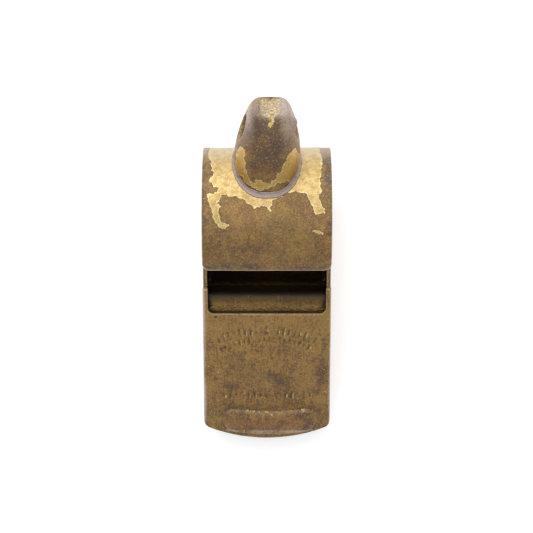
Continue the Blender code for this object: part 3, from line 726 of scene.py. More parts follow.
def barrel_bare(sizes):
    """Rubbed patches on the barrel, in millimetres: the outline, and a small streak."""

    def field(distance, across, edge, face):
        x, y = across / MM, world_arc(sizes, distance) / MM
        streak = 0.4 - np.hypot((x - 7.7) / 2.2, (y + 2.4 + 0.35 * (x - 7.7)) * 1.6)
        bare = np.maximum(inside_outline(RUBBED_PATCH, x, y), streak)
        return np.where(face > 0, bare, NOT_BARE)

    return field


def build_barrel(sizes, colours):
    """The strip: distance along the track by distance across, with both ends cut to their outlines."""
    line = strip_track(sizes)
    half = sizes.body_width / 2
    across = spaced(-half, half, sizes.edge_round, BARREL_STEPS_ACROSS)
    lip = corner_cut(half - np.abs(across), sizes.lip_corner)
    tip = line[0][-1] - (sizes.mouth_reach - tip_forward(sizes, across)) / math.cos(sizes.floor_slope)
    along = spaced(lip, tip, sizes.edge_round, BARREL_STEPS)
    side = np.broadcast_to(across, along.shape)
    lip_share, tip_share = slope_share(lip, across), slope_share(tip, across)
    grip = line[0][-1] - sizes.grip_from_tip / math.cos(sizes.floor_slope)

    def edge_distance(a, b):
        ends = np.minimum((a - lip) * lip_share, (tip - a) * tip_share)
        return np.minimum(half - np.abs(b), ends)

    def relief(a, b):
        bead = sizes.grip_rise * rise(grip_distance(sizes, a - grip, b), GRIP_EDGE)
        dents = 0.03 * MM * ripple(3, 9 * MM, a, b) + 0.012 * MM * ripple(4, 3.5 * MM, a, b)
        return np.where(a > grip - sizes.grip_width, bead, 0.0) + dents

    def wear_and_highlight(a, b, distance, face):
        lip_end = fade((a - lip) * lip_share, 0.2 * MM, 0.36 * MM)
        edge = 0.35 * fade(distance, 0.1 * MM, 0.3 * MM)
        return np.where(face > 0, np.maximum(lip_end, edge), 0.0)

    def shade_and_grime(a, b, distance, face):
        # Painted shade: the inner face, inside the chamber, is darkened.
        return np.where(face > 0, 0.0, 0.5)

    def stain(a, b, distance, face):
        arc_mm, x = world_arc(sizes, a) / MM, b / MM
        band = 0.55 * blob(arc_mm, x, -4.6, -1.0, 1.4, 6.5) + 0.6 * smooth_step(arc_mm, -7.2, -8.8)
        band = band + 0.3 * blob(arc_mm, x, -1.0, 1.5, 1.2, 3.0) + 0.7 * blob(arc_mm, x, -8.0, -5.5, 0.9, 2.2)
        sides = smooth_step(np.abs(x + 0.3), 8.5, 9.4) * smooth_step(np.abs(arc_mm - 4), 9.0, 6.0)
        return np.maximum(band, 0.8 * sides) - 0.35 * blob(arc_mm, x, 0.0, -3.0, 3.0, 5.0)

    def rust_and_sheen(a, b, distance, face):
        arc_mm, x = world_arc(sizes, a) / MM, b / MM
        red = 1.2 * blob(arc_mm, x, -6.7, -8.2, 0.6, 0.8) + 0.5 * blob(arc_mm, x, -8.6, 2.5, 0.5, 0.8)
        lip_end = fade((a - lip) * lip_share, 0.1 * MM, 0.3 * MM)
        # Painted sheen: pale towards the back of the barrel and at the lip's end, where they reflect the bright
        # surround; the red spots are tarnish.
        sheen_share = 0.4 * smooth_step(arc_mm, 7.0, 13.0) * smooth_step(arc_mm, 24.0, 13.0) + 0.6 * lip_end
        return np.where(face > 0, red - sheen_share, 0.0)

    points, quads, fields = sheet_mesh(
        [(along, side)],
        lambda a, b, offset: to_world(*read_track(line, a, offset), b),
        sizes.sheet / 2,
        edge_distance,
        lambda a, b: sizes.edge_round,
        relief,
        {"bare": barrel_bare(sizes), "wear_and_highlight": wear_and_highlight, "shade_and_grime": shade_and_grime, "stain": stain, "rust_and_sheen": rust_and_sheen},
    )
    material = aged_brass("barrel_brass", colours, 1.0, 0.44, crisp=1.2)
    make_piece("barrel_and_floor", "barrel_strip", "whistle", points, quads, fields, material)


def tick_row(along, across, pitch, count, lengths):
    """Distance inside short straight strokes in an even row, whose lengths repeat."""
    index = np.clip(np.round(across / pitch), -count, count).astype(int)
    reach = np.asarray(lengths)[index % len(lengths)] * MM
    return np.minimum(0.15 * MM - np.abs(across - index * pitch), reach - np.abs(along))


def punch_marks(sizes, forward, across):
    """Distance inside a worn border: two arched rows of strokes near the window, and a straight row."""
    crest, row = sizes.window_front + 3.3 * MM, sizes.window_front + 13.9 * MM
    bow = 17.0 * MM
    out = bow - np.hypot(across, crest + bow - forward)
    turn = bow * np.arctan2(across, crest + bow - forward)
    outer = tick_row(out + 0.5 * MM, turn, 0.82 * MM, 9, (0.75, 0.5, 0.75, 0.75, 0.5))
    inner = tick_row(out - 1.05 * MM, turn + 0.41 * MM, 0.82 * MM, 9, (0.3, 0.55))
    lower = tick_row(forward - row, across, 0.95 * MM, 7, (0.6, 0.35))
    return np.maximum(np.maximum(outer, inner), lower)


def punch_depth(sizes, forward, across):
    """How deep the strokes are, from 0 to 1: worn away in places."""
    worn = smooth_step(ripple(31, 3.4 * MM, forward, across), -0.55, 0.1)
    return smooth_step(punch_marks(sizes, forward, across), -0.07 * MM, 0.07 * MM) * worn


def punch_light(sizes, forward, across):
    """The lit side of each stroke, from 0 to 1, bright only in patches."""
    beside = punch_depth(sizes, forward - 0.1 * MM, across - 0.2 * MM) - punch_depth(sizes, forward, across)
    return np.clip(beside, 0, 1) * smooth_step(ripple(33, 3.0 * MM, forward, across), -0.3, 0.4)


def grip_place(sizes, forward, across):
    """A point's millimetres ahead of the top's tooth grip, and its distance inside the grip."""
    ahead = forward - sizes.mouth_reach + sizes.grip_from_tip
    return ahead / MM, grip_distance(sizes, ahead, across)


def small_pit(sizes, forward, across):
    """One deep pit beside the window, from 0 to 1."""
    return blob(forward, across, sizes.window_front + 0.55 * MM, -7.75 * MM, 0.22 * MM, 0.22 * MM)


def plate_fields(sizes):
    """What the mouthpiece's top looks like, as fields on its pattern: a forward, b across."""
    front = sizes.window_front

    def bare(a, b, distance, face):
        flecks = ripple(41, 1.3 * MM, a, b) + 0.8 * ripple(42, 0.45 * MM, a, b)
        ahead, grip = grip_place(sizes, a, b)
        # Painted highlight: a bright band along the tooth grip's upper edge.
        band = blob(ahead, b / MM, -1.9, 0.8, 0.4, 4.5)
        ring = 0.4 * bell(grip, -0.05 * MM, 0.12 * MM)
        # The lit sides of the punch marks are painted highlights; the flecks are rubbed brass, and the grip's
        # outline is rubbed brass and partly a painted highlight.
        rubbed = 0.5 * flecks - 0.72 + punch_light(sizes, a, b) + 0.25 * band + ring
        return np.where(face > 0, rubbed, NOT_BARE)

    def wear_and_highlight(a, b, distance, face):
        ahead, grip = grip_place(sizes, a, b)
        near_window = fade(a - front - 0.12 * MM, 0.0, 0.2 * MM)
        edge = fade(distance, 0.08 * MM, 0.3 * MM) * (0.4 + 0.35 * near_window)
        # The grip's rim is wear and partly a painted highlight; its upper slope and the punch marks' lit sides are
        # painted highlights.
        bead_rim = 0.5 * bell(grip, 0.1 * MM, 0.2 * MM)
        tooth = 0.32 * blob(ahead, b / MM, -1.4, 0.4, 0.4, 5.0)
        parts = [edge, bead_rim, tooth, 0.75 * punch_light(sizes, a, b)]
        return np.where(face > 0, np.maximum.reduce(parts), 0.0)

    def shade_and_grime(a, b, distance, face):
        ahead, grip = grip_place(sizes, a, b)
        # Painted shade: a patchy dark line round the foot of the tooth grip, two dark shadow lines inside its
        # edges, and a near-black underside. The punch marks and the pit are darkened too.
        ring = 0.4 * bell(grip, -0.22 * MM, 0.13 * MM) * smooth_step(ripple(45, 2.0 * MM, a, b), -0.6, 0.2)
        lines = 0.4 * (bell(ahead, -0.95, 0.13) + bell(ahead, 0.78, 0.13))
        lines = lines * smooth_step(grip, 0.05 * MM, 0.5 * MM)
        lines = lines * smooth_step(ripple(47, 3 * MM, a, b), -0.7, 0.2)
        parts = [0.5 * punch_depth(sizes, a, b), small_pit(sizes, a, b), ring, lines]
        return np.where(face > 0, np.maximum.reduce(parts), 0.95)

    def stain(a, b, distance, face):
        f, x = a / MM, b / MM
        middle = 0.85 * blob(f, x, 21.9, 0.5, 1.1, 1.9) + 0.7 * blob(f, x, 22.8 + 0.15 * x, 3.5, 0.9, 2.8)
        lower = 0.7 * blob(f, x, 23.8, -4.2, 0.9, 3.4) + 0.65 * blob(f, x, 25.0, 4.5, 1.5, 3.6)
        edges = blob(f, x, 17.0, 8.6, 2.5, 0.7) + 0.8 * blob(f, x, 22.5, 8.3, 2.0, 0.8)
        tip_end = 0.45 * smooth_step(f, 25.5, 28.0)
        stained = np.maximum.reduce([middle, lower, edges, tip_end])
        return 0.9 * stained - 0.9 * blob(f, x, 13.5, 0.0, 3.0, 9.0)

    def rust_and_sheen(a, b, distance, face):
        ahead, x = grip_place(sizes, a, b)[0], b / MM
        inside = smooth_step(7.2 - np.abs(x - 0.4), 0.0, 0.8)
        # Red tarnish across the tooth grip's middle, and painted sheen along its lower side, which would reflect
        # the bright surround.
        red = (0.9 * bell(ahead, -0.05, 0.75) - 0.6 * bell(ahead, 1.2, 0.42)) * inside
        red = red + np.maximum(0.35 * ripple(46, 6 * MM, a, b), 0)
        # Painted sheen along both long edges and the window's edge, where they reflect the bright surround.
        left, right = 0.75 * smooth_step(x, -9.0, -9.7), 0.6 * smooth_step(x, 9.35, 9.75)
        front_edge = 0.1 * fade(a - front, 0.05 * MM, 0.3 * MM)
        return np.where(face > 0, red - np.maximum.reduce([left, right, front_edge]), 0.0)

    return {"bare": bare, "wear_and_highlight": wear_and_highlight, "shade_and_grime": shade_and_grime, "stain": stain, "rust_and_sheen": rust_and_sheen}


def build_mouthpiece_top(sizes, colours):
    """A flat plate on a (forward, across) grid: one patch from the window to the bowed tip, and one along
    each arm. It meets the window at the outline of a rounded rectangle."""
    half, opening = sizes.body_width / 2, sizes.body_width / 2 - sizes.arm_width
    corner, front, round_in = sizes.window_corner, sizes.window_front, sizes.edge_round
    arm_side = spaced(opening, half, round_in, ARM_STEPS_ACROSS)
    between = spaced(-opening, opening, round_in, PLATE_STEPS_ACROSS)[1:-1]
    across = np.concatenate([-arm_side[::-1], between, arm_side])
    arm_end = TOP_LOW[0]
    join = front - corner
    near = front - corner_cut(np.maximum(opening - np.abs(across), 0), corner)
    far = tip_forward(sizes, across)
    far_share = slope_share(far, across)
    along = spaced(near, far, round_in, PLATE_STEPS)
    arm_along = np.concatenate([spaced(arm_end, join, round_in, ARM_STEPS)[:-EDGE_ROWS], [join]])
    patches = [(along, np.broadcast_to(across, along.shape))]
    for sign in (-1, 1):
        patches.append(np.meshgrid(arm_along, np.sort(sign * arm_side), indexing="ij"))

    def tip_distance(a, b):
        return (tip_forward(sizes, b) - a) * (far_share if a.shape == along.shape else 1.0)

    def hole_distance(a, b):
        side, ahead = np.abs(b) - (opening - corner), a - join
        return np.hypot(np.maximum(side, 0), np.maximum(ahead, 0)) - corner

    def edge_distance(a, b):
        parts = [half - np.abs(b), tip_distance(a, b), hole_distance(a, b), a - arm_end]
        return np.minimum.reduce(np.broadcast_arrays(*parts))

    def long_edge(a, b):
        others = np.minimum.reduce([tip_distance(a, b), hole_distance(a, b), a - arm_end])
        return smooth_step(others - (half - np.abs(b)), -0.2 * MM, 0.5 * MM)

    def edge_round(a, b):
        return sizes.edge_round + (sizes.long_edge_round - sizes.edge_round) * long_edge(a, b)

    def meeting(a, b):
        return (sizes.sheet / 2 - sizes.long_edge_round) * long_edge(a, b)

    def relief(a, b):
        bead = sizes.grip_rise * rise(grip_place(sizes, a, b)[1], GRIP_EDGE)
        dents = 0.025 * MM * ripple(7, 8 * MM, a, b) + 0.01 * MM * ripple(8, 2.5 * MM, a, b)
        return bead + dents - 0.13 * MM * punch_depth(sizes, a, b) - 0.15 * MM * small_pit(sizes, a, b)

    points, quads, fields = sheet_mesh(
        patches,
        lambda a, b, offset: to_world(a, sizes.mouth_top - sizes.sheet / 2 + offset, b),
        sizes.sheet / 2,
        edge_distance,
        edge_round,
        relief,
        plate_fields(sizes),
        meeting,
    )
    material = aged_brass(
        "mouthpiece_brass", colours, 4.0, 0.65, brushed=0.24, crisp=2.7, relief=2.8, fine_share=0.3
    )
    make_piece("mouthpiece_plate", "mouthpiece_top", "whistle", points, quads, fields, material)


def resampled(points, count):
    """Points spread evenly along a line, ends kept."""
    points = np.asarray(points, float)
    reach = np.concatenate([[0], np.cumsum(np.linalg.norm(np.diff(points, axis=0), axis=1))])
    at = np.linspace(0, reach[-1], count)
    return np.stack([np.interp(at, reach, points[:, i]) for i in (0, 1)], -1)


def side_outline(sizes):
    """The side's lower line, from the back of the barrel under to the tip, and its upper line over to it."""
    line = strip_track(sizes)
    inward = -(sizes.sheet / 2 + sizes.joint_gap)
    reach = line[0]
    middle = sizes.barrel_radius - sizes.sheet / 2
    back = middle * (math.pi / 2 + sizes.lip_angle)
    rows = np.stack(read_track(line, reach, inward), -1)
    lower, over = rows[reach > back], rows[reach <= back][::-1]
    upper = sizes.mouth_top - sizes.sheet - sizes.joint_gap
    arm_end = TOP_LOW[0]
    over = [*over, (arm_end, upper - sizes.notch_depth), (arm_end, upper), (lower[-1][0], upper)]
    after, before = rows[reach > back][0], rows[reach <= back][-1]
    low_start, over_start = 0.6 * after + 0.4 * before, 0.4 * after + 0.6 * before
    return np.array([low_start, *lower]), np.array([over_start, *over])


def build_side_plate(sizes, colours, side):
    """The flat side between its lower and upper lines: each column runs straight from one line to the other.
    The side's tip follows the tip's bow at its own distance across."""
    across = side * (SIDE_LOW[2] + SIDE_HIGH[2]) / 2
    reach = tip_forward(sizes, np.array([across]))[0]
    lines = [np.minimum(part, (reach, np.inf)) for part in side_outline(sizes)]
    lower, over = (resampled(part, SIDE_COLUMNS) for part in lines)
    share = spaced(0.0, 1.0, 0.03, SIDE_STEPS_UP)[:, None]
    forward = lower[:, 0] + (over[:, 0] - lower[:, 0]) * share
    up = lower[:, 1] + (over[:, 1] - lower[:, 1]) * share
    tall = np.linalg.norm(over - lower, axis=1)
    column = np.arange(SIDE_COLUMNS)
    ends = np.minimum(column, column[::-1]) * SIDE_END
    distance_grid = np.minimum(np.minimum(share, 1 - share) * tall, ends)

    def wear_and_highlight(a, b, distance, face):
        window = smooth_step(b, 8.0 * MM, 8.8 * MM) * smooth_step(a, 9.0 * MM, 8.0 * MM)
        return fade(distance, 0.15 * MM, 0.35 * MM) * np.where(face > 0, 0.55, 0.5 * window)

    def shade_and_grime(a, b, distance, face):
        # The outer face is darker near its edges. The inner face is painted shade, near-black low down and lighter
        # towards the top.
        seam = 0.5 * fade(distance, 0.15 * MM, 0.9 * MM)
        upper = smooth_step(b, 5.5 * MM, 9.0 * MM)
        edge = fade(distance, 0.15 * MM, 0.35 * MM)
        return np.where(face > 0, seam, (0.97 - 0.45 * upper) * (1 - edge * upper))

    def bare(a, b, distance, face):
        flecks = ripple(51 + side, 6 * MM, a, b) + 0.5 * ripple(53 + side, 1.7 * MM, a, b)
        return np.where(face > 0, 0.9 * flecks - 1.1, NOT_BARE)

    points, quads, fields = sheet_mesh(
        [(forward, up)],
        lambda a, b, offset: to_world(a, b, across + side * offset),
        sizes.sheet / 2,
        lambda a, b: distance_grid,
        lambda a, b: SIDE_EDGE,
        lambda a, b: 0.02 * MM * ripple(61 + side, 7 * MM, a, b),
        {"bare": bare, "wear_and_highlight": wear_and_highlight, "shade_and_grime": shade_and_grime, "stain": lambda *place: 0.3},
    )
    name = "right" if side > 0 else "left"
    material = aged_brass(f"{name}_side_brass", colours, 7.0 + side, 0.5)
    make_piece(f"{name}_side", f"side_plate_{name}", "whistle", points, quads, fields, material)


def ramp_track(sizes):
    """The ramp at mid-sheet: foot, wall, level crest and slope, with its corners turned into arcs."""
    rise_up = sizes.sheet / 2 + sizes.joint_gap + sizes.ramp_sheet / 2
    tip = np.array([sizes.mouth_reach, sizes.mouth_top - sizes.mouth_height + sizes.sheet / 2])
    level = direction(sizes.floor_slope + math.pi / 2) @ tip + rise_up

    def floor_point(forward):
        up = (level + math.sin(sizes.floor_slope) * forward) / math.cos(sizes.floor_slope)
        return np.array([forward, up])

    wall = direction(sizes.ramp_lean)
    reach = sizes.barrel_radius - sizes.sheet + sizes.joint_gap + sizes.ramp_sheet / 2
    top = sizes.mouth_top - sizes.sheet - sizes.slot_height - sizes.ramp_sheet / 2
    crest = np.array([(reach - top * wall[1]) / wall[0], top])
    climb = wall[1] * level / math.cos(sizes.floor_slope)
    heel = floor_point((reach - climb) / (wall[0] + wall[1] * math.tan(sizes.floor_slope)))
    corners = [
        floor_point(heel[0] + sizes.ramp_foot),
        heel,
        crest,
        np.array([sizes.window_front + sizes.ramp_flat, top]),
        floor_point(sizes.mouth_reach - sizes.ramp_toe),
    ]
    stretches, last = [], corners[0]
    for before, corner, after in zip(corners, corners[1:], corners[2:]):
        come = (corner - before) / np.linalg.norm(corner - before)
        go = (after - corner) / np.linalg.norm(after - corner)
        turn = math.atan2(come[0] * go[1] - come[1] * go[0], come @ go)
        side = math.copysign(1.0, turn)
        start = corner - come * sizes.ramp_bend * math.tan(abs(turn) / 2)
        centre = start + side * sizes.ramp_bend * np.array([-come[1], come[0]])
        first = math.atan2(start[1] - centre[1], start[0] - centre[0])
        stretches.append(line_stretch(last, start))
        stretches.append(arc_stretch(centre, sizes.ramp_bend, first, first + turn, side))
        last = stretches[-1][0][-1]
    stretches.append(line_stretch(last, corners[-1]))
    return track(stretches)


def build_ramp(sizes, colours):
    """The ramp: distance along its bent line by distance across."""
    line = ramp_track(sizes)
    half = RAMP_HIGH[2]
    across = spaced(-half, half, RAMP_EDGE, RAMP_STEPS_ACROSS)
    along, side = np.meshgrid(spaced(0.0, line[0][-1], RAMP_EDGE, RAMP_STEPS), across, indexing="ij")

    def edge_distance(a, b):
        return np.minimum.reduce([half - np.abs(b), a, line[0][-1] - a])

    def bare(a, b, distance, face):
        forward, _ = read_track(line, a, 0.0)
        # Painted light: bright flecks on the crest, where light falls through the window.
        lit = smooth_step(forward, 10.1 * MM, 11.1 * MM) * fade(forward, 11.5 * MM, 11.9 * MM)
        flecks = ripple(71, 0.9 * MM, a, b) + 0.8 * ripple(72, 0.35 * MM, a, b)
        return 0.6 * flecks - 1.15 + 1.1 * lit

    def wear_and_highlight(a, b, distance, face):
        forward, _ = read_track(line, a, 0.0)
        # Painted light: lighter towards the crest.
        return 0.15 + 0.2 * smooth_step(forward, 10.5 * MM, 11.2 * MM)

    def shade_and_grime(a, b, distance, face):
        forward, _ = read_track(line, a, 0.0)
        # Painted shade: dark in the ramp's side corners, near-black deep in the chamber and lighter up to the
        # crest, and painted shadow in the slot under the top.
        corner = 0.9 * fade(half - np.abs(b), 0.1 * MM, 1.3 * MM)
        deep = 0.98 - 0.93 * smooth_step(forward, 8.9 * MM, 11.3 * MM)
        under_top = 0.6 * smooth_step(forward, 11.45 * MM, 11.8 * MM)
        return np.maximum.reduce([corner, deep, under_top])

    points, quads, fields = sheet_mesh(
        [(along, side)],
        lambda a, b, offset: to_world(*read_track(line, a, offset), b),
        sizes.ramp_sheet / 2,
        edge_distance,
        lambda a, b: RAMP_EDGE,
        lambda a, b: 0.02 * MM * ripple(73, 4 * MM, a, b),
        {"bare": bare, "wear_and_highlight": wear_and_highlight, "shade_and_grime": shade_and_grime, "stain": lambda *place: -0.2},
    )
    material = aged_brass("ramp_brass", colours, 12.0, 0.75, sheen=0.0, bare_shading=0.5, crisp=1.6)
    make_piece("windway_slope", "windway_ramp", "whistle", points, quads, fields, material)


# The loop ----------------------------------------------------------------------------------------------


def loop_to_world(slant, out, rear_up, across):
    """Loop coordinates as world points. out runs from the barrel's axis along the loop's axis, and rear_up
    runs square to it, towards the whistle's upper side."""
    forward = -out * math.cos(slant) + rear_up * math.sin(slant)
    up = out * math.sin(slant) + rear_up * math.cos(slant)
    return to_world(forward, up, across)


def loop_half_sizes(loop, radius, out, sideways):
    """Half the loop's width and length at a point: a superellipse that closes upwards. Near the
    barrel the length spreads and the width draws in, both exponentially."""
    share = np.clip((out - radius) / loop.height, 0, 1)
    closing = (1 - share**loop.fullness) ** (1 / loop.fullness)
    above = np.maximum(np.hypot(out, sideways) - radius, 0)
    foot = loop.foot_flare * np.exp(-above / loop.flare_height)
    pinch = loop.foot_pinch * np.exp(-above / loop.pinch_height)
    width = loop.top_width / 2 + (loop.base_width - loop.top_width) / 2 * closing - pinch
    depth = loop.top_length / 2 + (loop.base_length - loop.top_length) / 2 * closing + foot
    return width, depth, above


def worn_line(loop, radius):
    """The line of the worn flat in side view, as its normal and distance."""
    normal = direction(loop.wear_tilt)
    corner = np.array([radius + loop.height, -loop.top_length / 2])
    return normal, normal @ corner


def loop_reach(loop, radius, turn):
    """How far the loop's side outline is from the hole's centre, at angles from the loop's axis: the point
    where a ray leaves the dome, the worn flat or the barrel, found by halving."""
    normal, cut = worn_line(loop, radius)
    low, high = np.full(turn.shape, loop.hole_radius), np.full(turn.shape, 2 * loop.height)
    for _ in range(HALVINGS):
        middle = (low + high) / 2
        out = radius + loop.hole_height + middle * np.cos(turn)
        side = middle * np.sin(turn)
        _, depth, _ = loop_half_sizes(loop, radius, out, side)
        inside = (np.abs(side) < depth) & (np.hypot(out, side) > radius)
        inside &= (out * normal[0] + side * normal[1] < cut) & (out < radius + loop.height)
        low, high = np.where(inside, middle, low), np.where(inside, high, middle)
    return low


def loop_grid(loop, radius):
    """Angles round the hole, distances from its centre, and shares across the loop from -1 to 1. A section
    runs over the hole's wall, out over the right flank, across the rim and back over the left flank."""
    turn = np.linspace(0, math.tau, LOOP_SECTIONS, endpoint=False)
    reach = loop_reach(loop, radius, turn)
    even = np.linspace(0, 1, FLANK_STEPS + 1)
    share = 0.35 * even + 0.65 * np.sin(even * math.pi / 2)
    flank = loop.hole_radius + (reach[:, None] - loop.hole_radius) * share
    wall = np.repeat(flank[:, :1], WALL_STEPS - 1, axis=1)
    rim = np.repeat(flank[:, -1:], RIM_STEPS - 1, axis=1)
    far = np.concatenate([wall, flank, rim, flank[:, ::-1]], axis=1)
    ones = np.ones(FLANK_STEPS + 1)
    over_wall = np.linspace(-1, 1, WALL_STEPS + 1)[1:-1]
    over_rim = np.linspace(1, -1, RIM_STEPS + 1)[1:-1]
    return np.broadcast_arrays(turn[:, None], far, np.concatenate([over_wall, ones, over_rim, -ones]))


def build_loop(sizes, loop, colours):
    """The loop as a ring of sections round its hole. Its half width is a(1 - |s/b|^n)^(1/n), less the
    rounding of the hole's rims and of the worn flat, plus a burr on the right flank. The flat is dished."""
    radius = sizes.barrel_radius + sizes.joint_gap
    turn, far, across = loop_grid(loop, radius)
    out = radius + loop.hole_height + far * np.cos(turn)
    side = far * np.sin(turn)
    width, depth, above = loop_half_sizes(loop, radius, out, side)
    share_up = np.clip((out - radius) / loop.height, 0, 1)
    power = loop.squareness + np.where(side < 0, loop.rear_square * share_up**6, 0.0)
    narrow = (1 - np.clip(np.abs(side) / depth, 0, 1) ** power) ** (1 / power)
    normal, cut = worn_line(loop, radius)
    to_flat = cut - (out * normal[0] + side * normal[1])
    flat = bell(to_flat, 0.0, 0.25 * MM)
    hole_ease = 1 - rise(far - loop.hole_radius + 1e-9, loop.hole_round)
    flat_ease = 1 - rise(to_flat + 1e-9, loop.wear_round)
    corner = 0.45 + 0.55 * smooth_step(side, -1.8 * MM, -0.2 * MM)
    half = width * narrow - loop.hole_round * hole_ease - 0.8 * loop.wear_round * corner * flat_ease
    burr = blob(out / MM, side / MM, (radius + loop.hole_height) / MM + 1.7, 1.2, 1.0, 1.1)
    burr = np.where((across > 0) & (narrow > 0.2), 0.62 * MM * burr, 0.0)
    x = across * (np.maximum(half, LEAST_HALF) + burr) + loop.lean * share_up
    hollow = loop.wear_dish * flat * (1 - across**2)
    out, side = out - hollow * normal[0], side - hollow * normal[1]
    points = loop_to_world(loop.slant, out, side, x)
    dents = 0.04 * MM * ripple(81, 5 * MM, *np.moveaxis(points, -1, 0))
    points[..., 2] += dents * (narrow > 0.3) * smooth_step(above, 0.2 * MM, 1.5 * MM)

    seen = flat * smooth_step(1 - np.abs(across), 0.03, 0.2)
    on_flank = np.abs(across) > 0.99
    foot = inside_outline(RUBBED_FOOT, x / MM, points[..., 1] / MM)
    foot = np.minimum(foot, 4.6 - above / MM - 1.9 * smooth_step(side / MM, 2.6, 0.6))
    foot = np.where(side > -0.5 * MM, foot, np.minimum(0.9 - above / MM, above / MM - 0.3))
    flecks = 0.5 * ripple(82, 0.5 * MM, x, side, out) + 0.3 * ripple(83, 0.25 * MM, x, side, out)
    bare = np.where(seen > 0.5, flecks - 0.45, np.minimum(foot, 1.5))
    drip_width = 0.42 - 0.1 * np.clip(to_flat / MM, 0, 2)
    drip = blob(x / MM, to_flat / MM, 0.7, 0.4, drip_width, 1.3) * (side > 0)
    bare = np.where(seen > 0.1, bare, np.maximum(bare, np.minimum(1.2 * drip - 0.55, 0.3)))
    hole_rim = 0.45 * fade(far - loop.hole_radius, 0.0, 0.3 * MM) * on_flank
    sides = smooth_step(above / MM, 3.0, 7.0) * smooth_step(np.abs(x / MM), 1.2, 2.8)
    front = fade(np.abs(x / MM - 0.2), 1.5, 3.4) * (side > 0) * smooth_step(above / MM, 1.0, 3.0)
    fields = {
        "bare": bare,
        "wear_and_highlight": np.maximum.reduce([hole_rim, smooth_step(seen, 0.3, 0.8), 0.9 * drip]),
        # Painted shade: the hole's wall is darkened.
        "shade_and_grime": np.where(~on_flank & (far < loop.hole_radius * 1.01), 0.95, 0.0),
        "stain": 0.1 + front * (0.3 + 0.5 * smooth_step(above, 2.5 * MM, 5.5 * MM)),
        # Painted sheen: pale on the worn flat and on the flanks higher up, where they reflect the bright surround.
        "rust_and_sheen": -0.3 * flat - 0.25 * sides - 0.3 * sides * smooth_step(above / MM, 6.5, 8.5),
    }
    fields = {name: field.reshape(-1) for name, field in fields.items()}
    points, quads = points.reshape(-1, 3), grid_quads(*far.shape, wrap_rows=True, wrap_columns=True)
    material = aged_brass("loop_brass", colours, 17.0, 0.4, bare_shading=0.6, crisp=1.2, pitted=1.0)
    make_piece("hanging_loop", "suspension_loop", "whistle", points, quads, fields, material)


def signed_power(value, power):
    """A power of the size of each value, with the value's own sign."""
    return np.sign(value) * np.abs(value) ** power


def build_loop_solder(sizes, loop, colours):
    """The solder: a hollowed fillet carried round a superellipse at the loop's foot, a little uneven."""
    radius = sizes.barrel_radius + sizes.joint_gap
    turn = np.linspace(0, math.tau, RING_SECTIONS, endpoint=False)[:, None]
    half_width, half_length = loop.ring_width / 2, loop.ring_length / 2
    base_x = half_width * signed_power(np.cos(turn), 2 / loop.ring_squareness)
    base_s = half_length * signed_power(np.sin(turn), 2 / loop.ring_squareness)
    slope_x = signed_power(base_x / half_width, loop.ring_squareness - 1) / half_width
    slope_s = signed_power(base_s / half_length, loop.ring_squareness - 1) / half_length
    size = np.hypot(slope_x, slope_s)
    normal_x, normal_s = slope_x / size, slope_s / size
    uneven = 1 + 0.08 * ripple(91, 4.5 * MM, base_x, base_s) + 0.06 * ripple(92, 1.5 * MM, base_x, base_s)
    curve = np.linspace(0, math.pi / 2, FILLET_POINTS)
    face_out, face_up = 1 - np.cos(curve), 1 - np.sin(curve)
    outs = np.concatenate([face_out, [0.94, 0.6, 0.1, -0.25, -0.25]])
    ups = np.concatenate([face_up, [-0.06, -0.06, -0.06, -0.06, 0.9]])
    ups[0], outs[0] = 1.0, -0.05
    offset = outs[None, :] * loop.collar_width * uneven
    lift = (0.06 + 0.94 * ups[None, :]) * loop.collar_height * uneven
    x = base_x + normal_x * offset
    side = base_s + normal_s * offset
    out = np.sqrt(radius**2 - side**2) + lift
    points = loop_to_world(loop.slant, out, side, x).reshape(-1, 3)
    quads = grid_quads(*x.shape, wrap_rows=True, wrap_columns=True)
    material = dull_solder("collar_solder", colours)
    make_piece("loop_collar", "loop_solder", "whistle", points, quads, {}, material)


def build_pea(loop, colours):
    """A ball on a (latitude, longitude) grid, with a radius roughened by ripples and pits."""
    low, high = (np.array(corner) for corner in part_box("cork_pea"))
    latitude = np.linspace(-math.pi / 2, math.pi / 2, PEA_ROWS)[:, None]
    longitude = np.linspace(0, math.tau, PEA_COLUMNS, endpoint=False)[None, :]
    flat = np.cos(latitude)
    axes = np.broadcast_arrays(flat * np.cos(longitude), flat * np.sin(longitude), np.sin(latitude))
    rough = ripple(101, 0.9, *axes) + 0.5 * ripple(102, 0.3, *axes)
    pits = smooth_step(ripple(103, 0.22, *axes), 0.45, 0.8)
    radius = loop.pea_radius - 0.06 * MM + 0.04 * MM * rough - 0.12 * MM * pits
    radius[0], radius[-1] = radius[0].mean(), radius[-1].mean()
    unit = np.stack(axes, -1)
    unit[0], unit[-1] = (0, 0, -1), (0, 0, 1)
    points = ((low + high) / 2 + unit * radius[..., None]).reshape(-1, 3)
    quads = grid_quads(PEA_ROWS, PEA_COLUMNS, wrap_columns=True)
    make_piece("cork_ball", "cork_pea", "pea", points, quads, {}, natural_cork("cork", colours))


# The studio --------------------------------------------------------------------------------------------


class StudioSizes(PropertyGroup):
    """The camera, the lights and the floor."""

    camera_height: length("Camera height", "Above the barrel's highest line", 320.0)
    view_shift: length("View centre", "From the view's centre back to the barrel's axis", 7.5)
    view_side: length("View side", "From the view's centre across to the whistle's middle", 0.06)
    view_scale: number("View width", "Body widths that the view takes in", 4.071)
    world: number("Surround", "Brightness all round", 0.62)
    back_light: wattage("Back light", "Large soft light behind", 3.2)
    top_light: wattage("Top light", "Large soft light overhead", 2.2)
    floor_glow: number("Floor glow", "Light that the floor gives off", 0.4)
    floor_side: length("Floor side", "Side of the square floor", 3000.0)


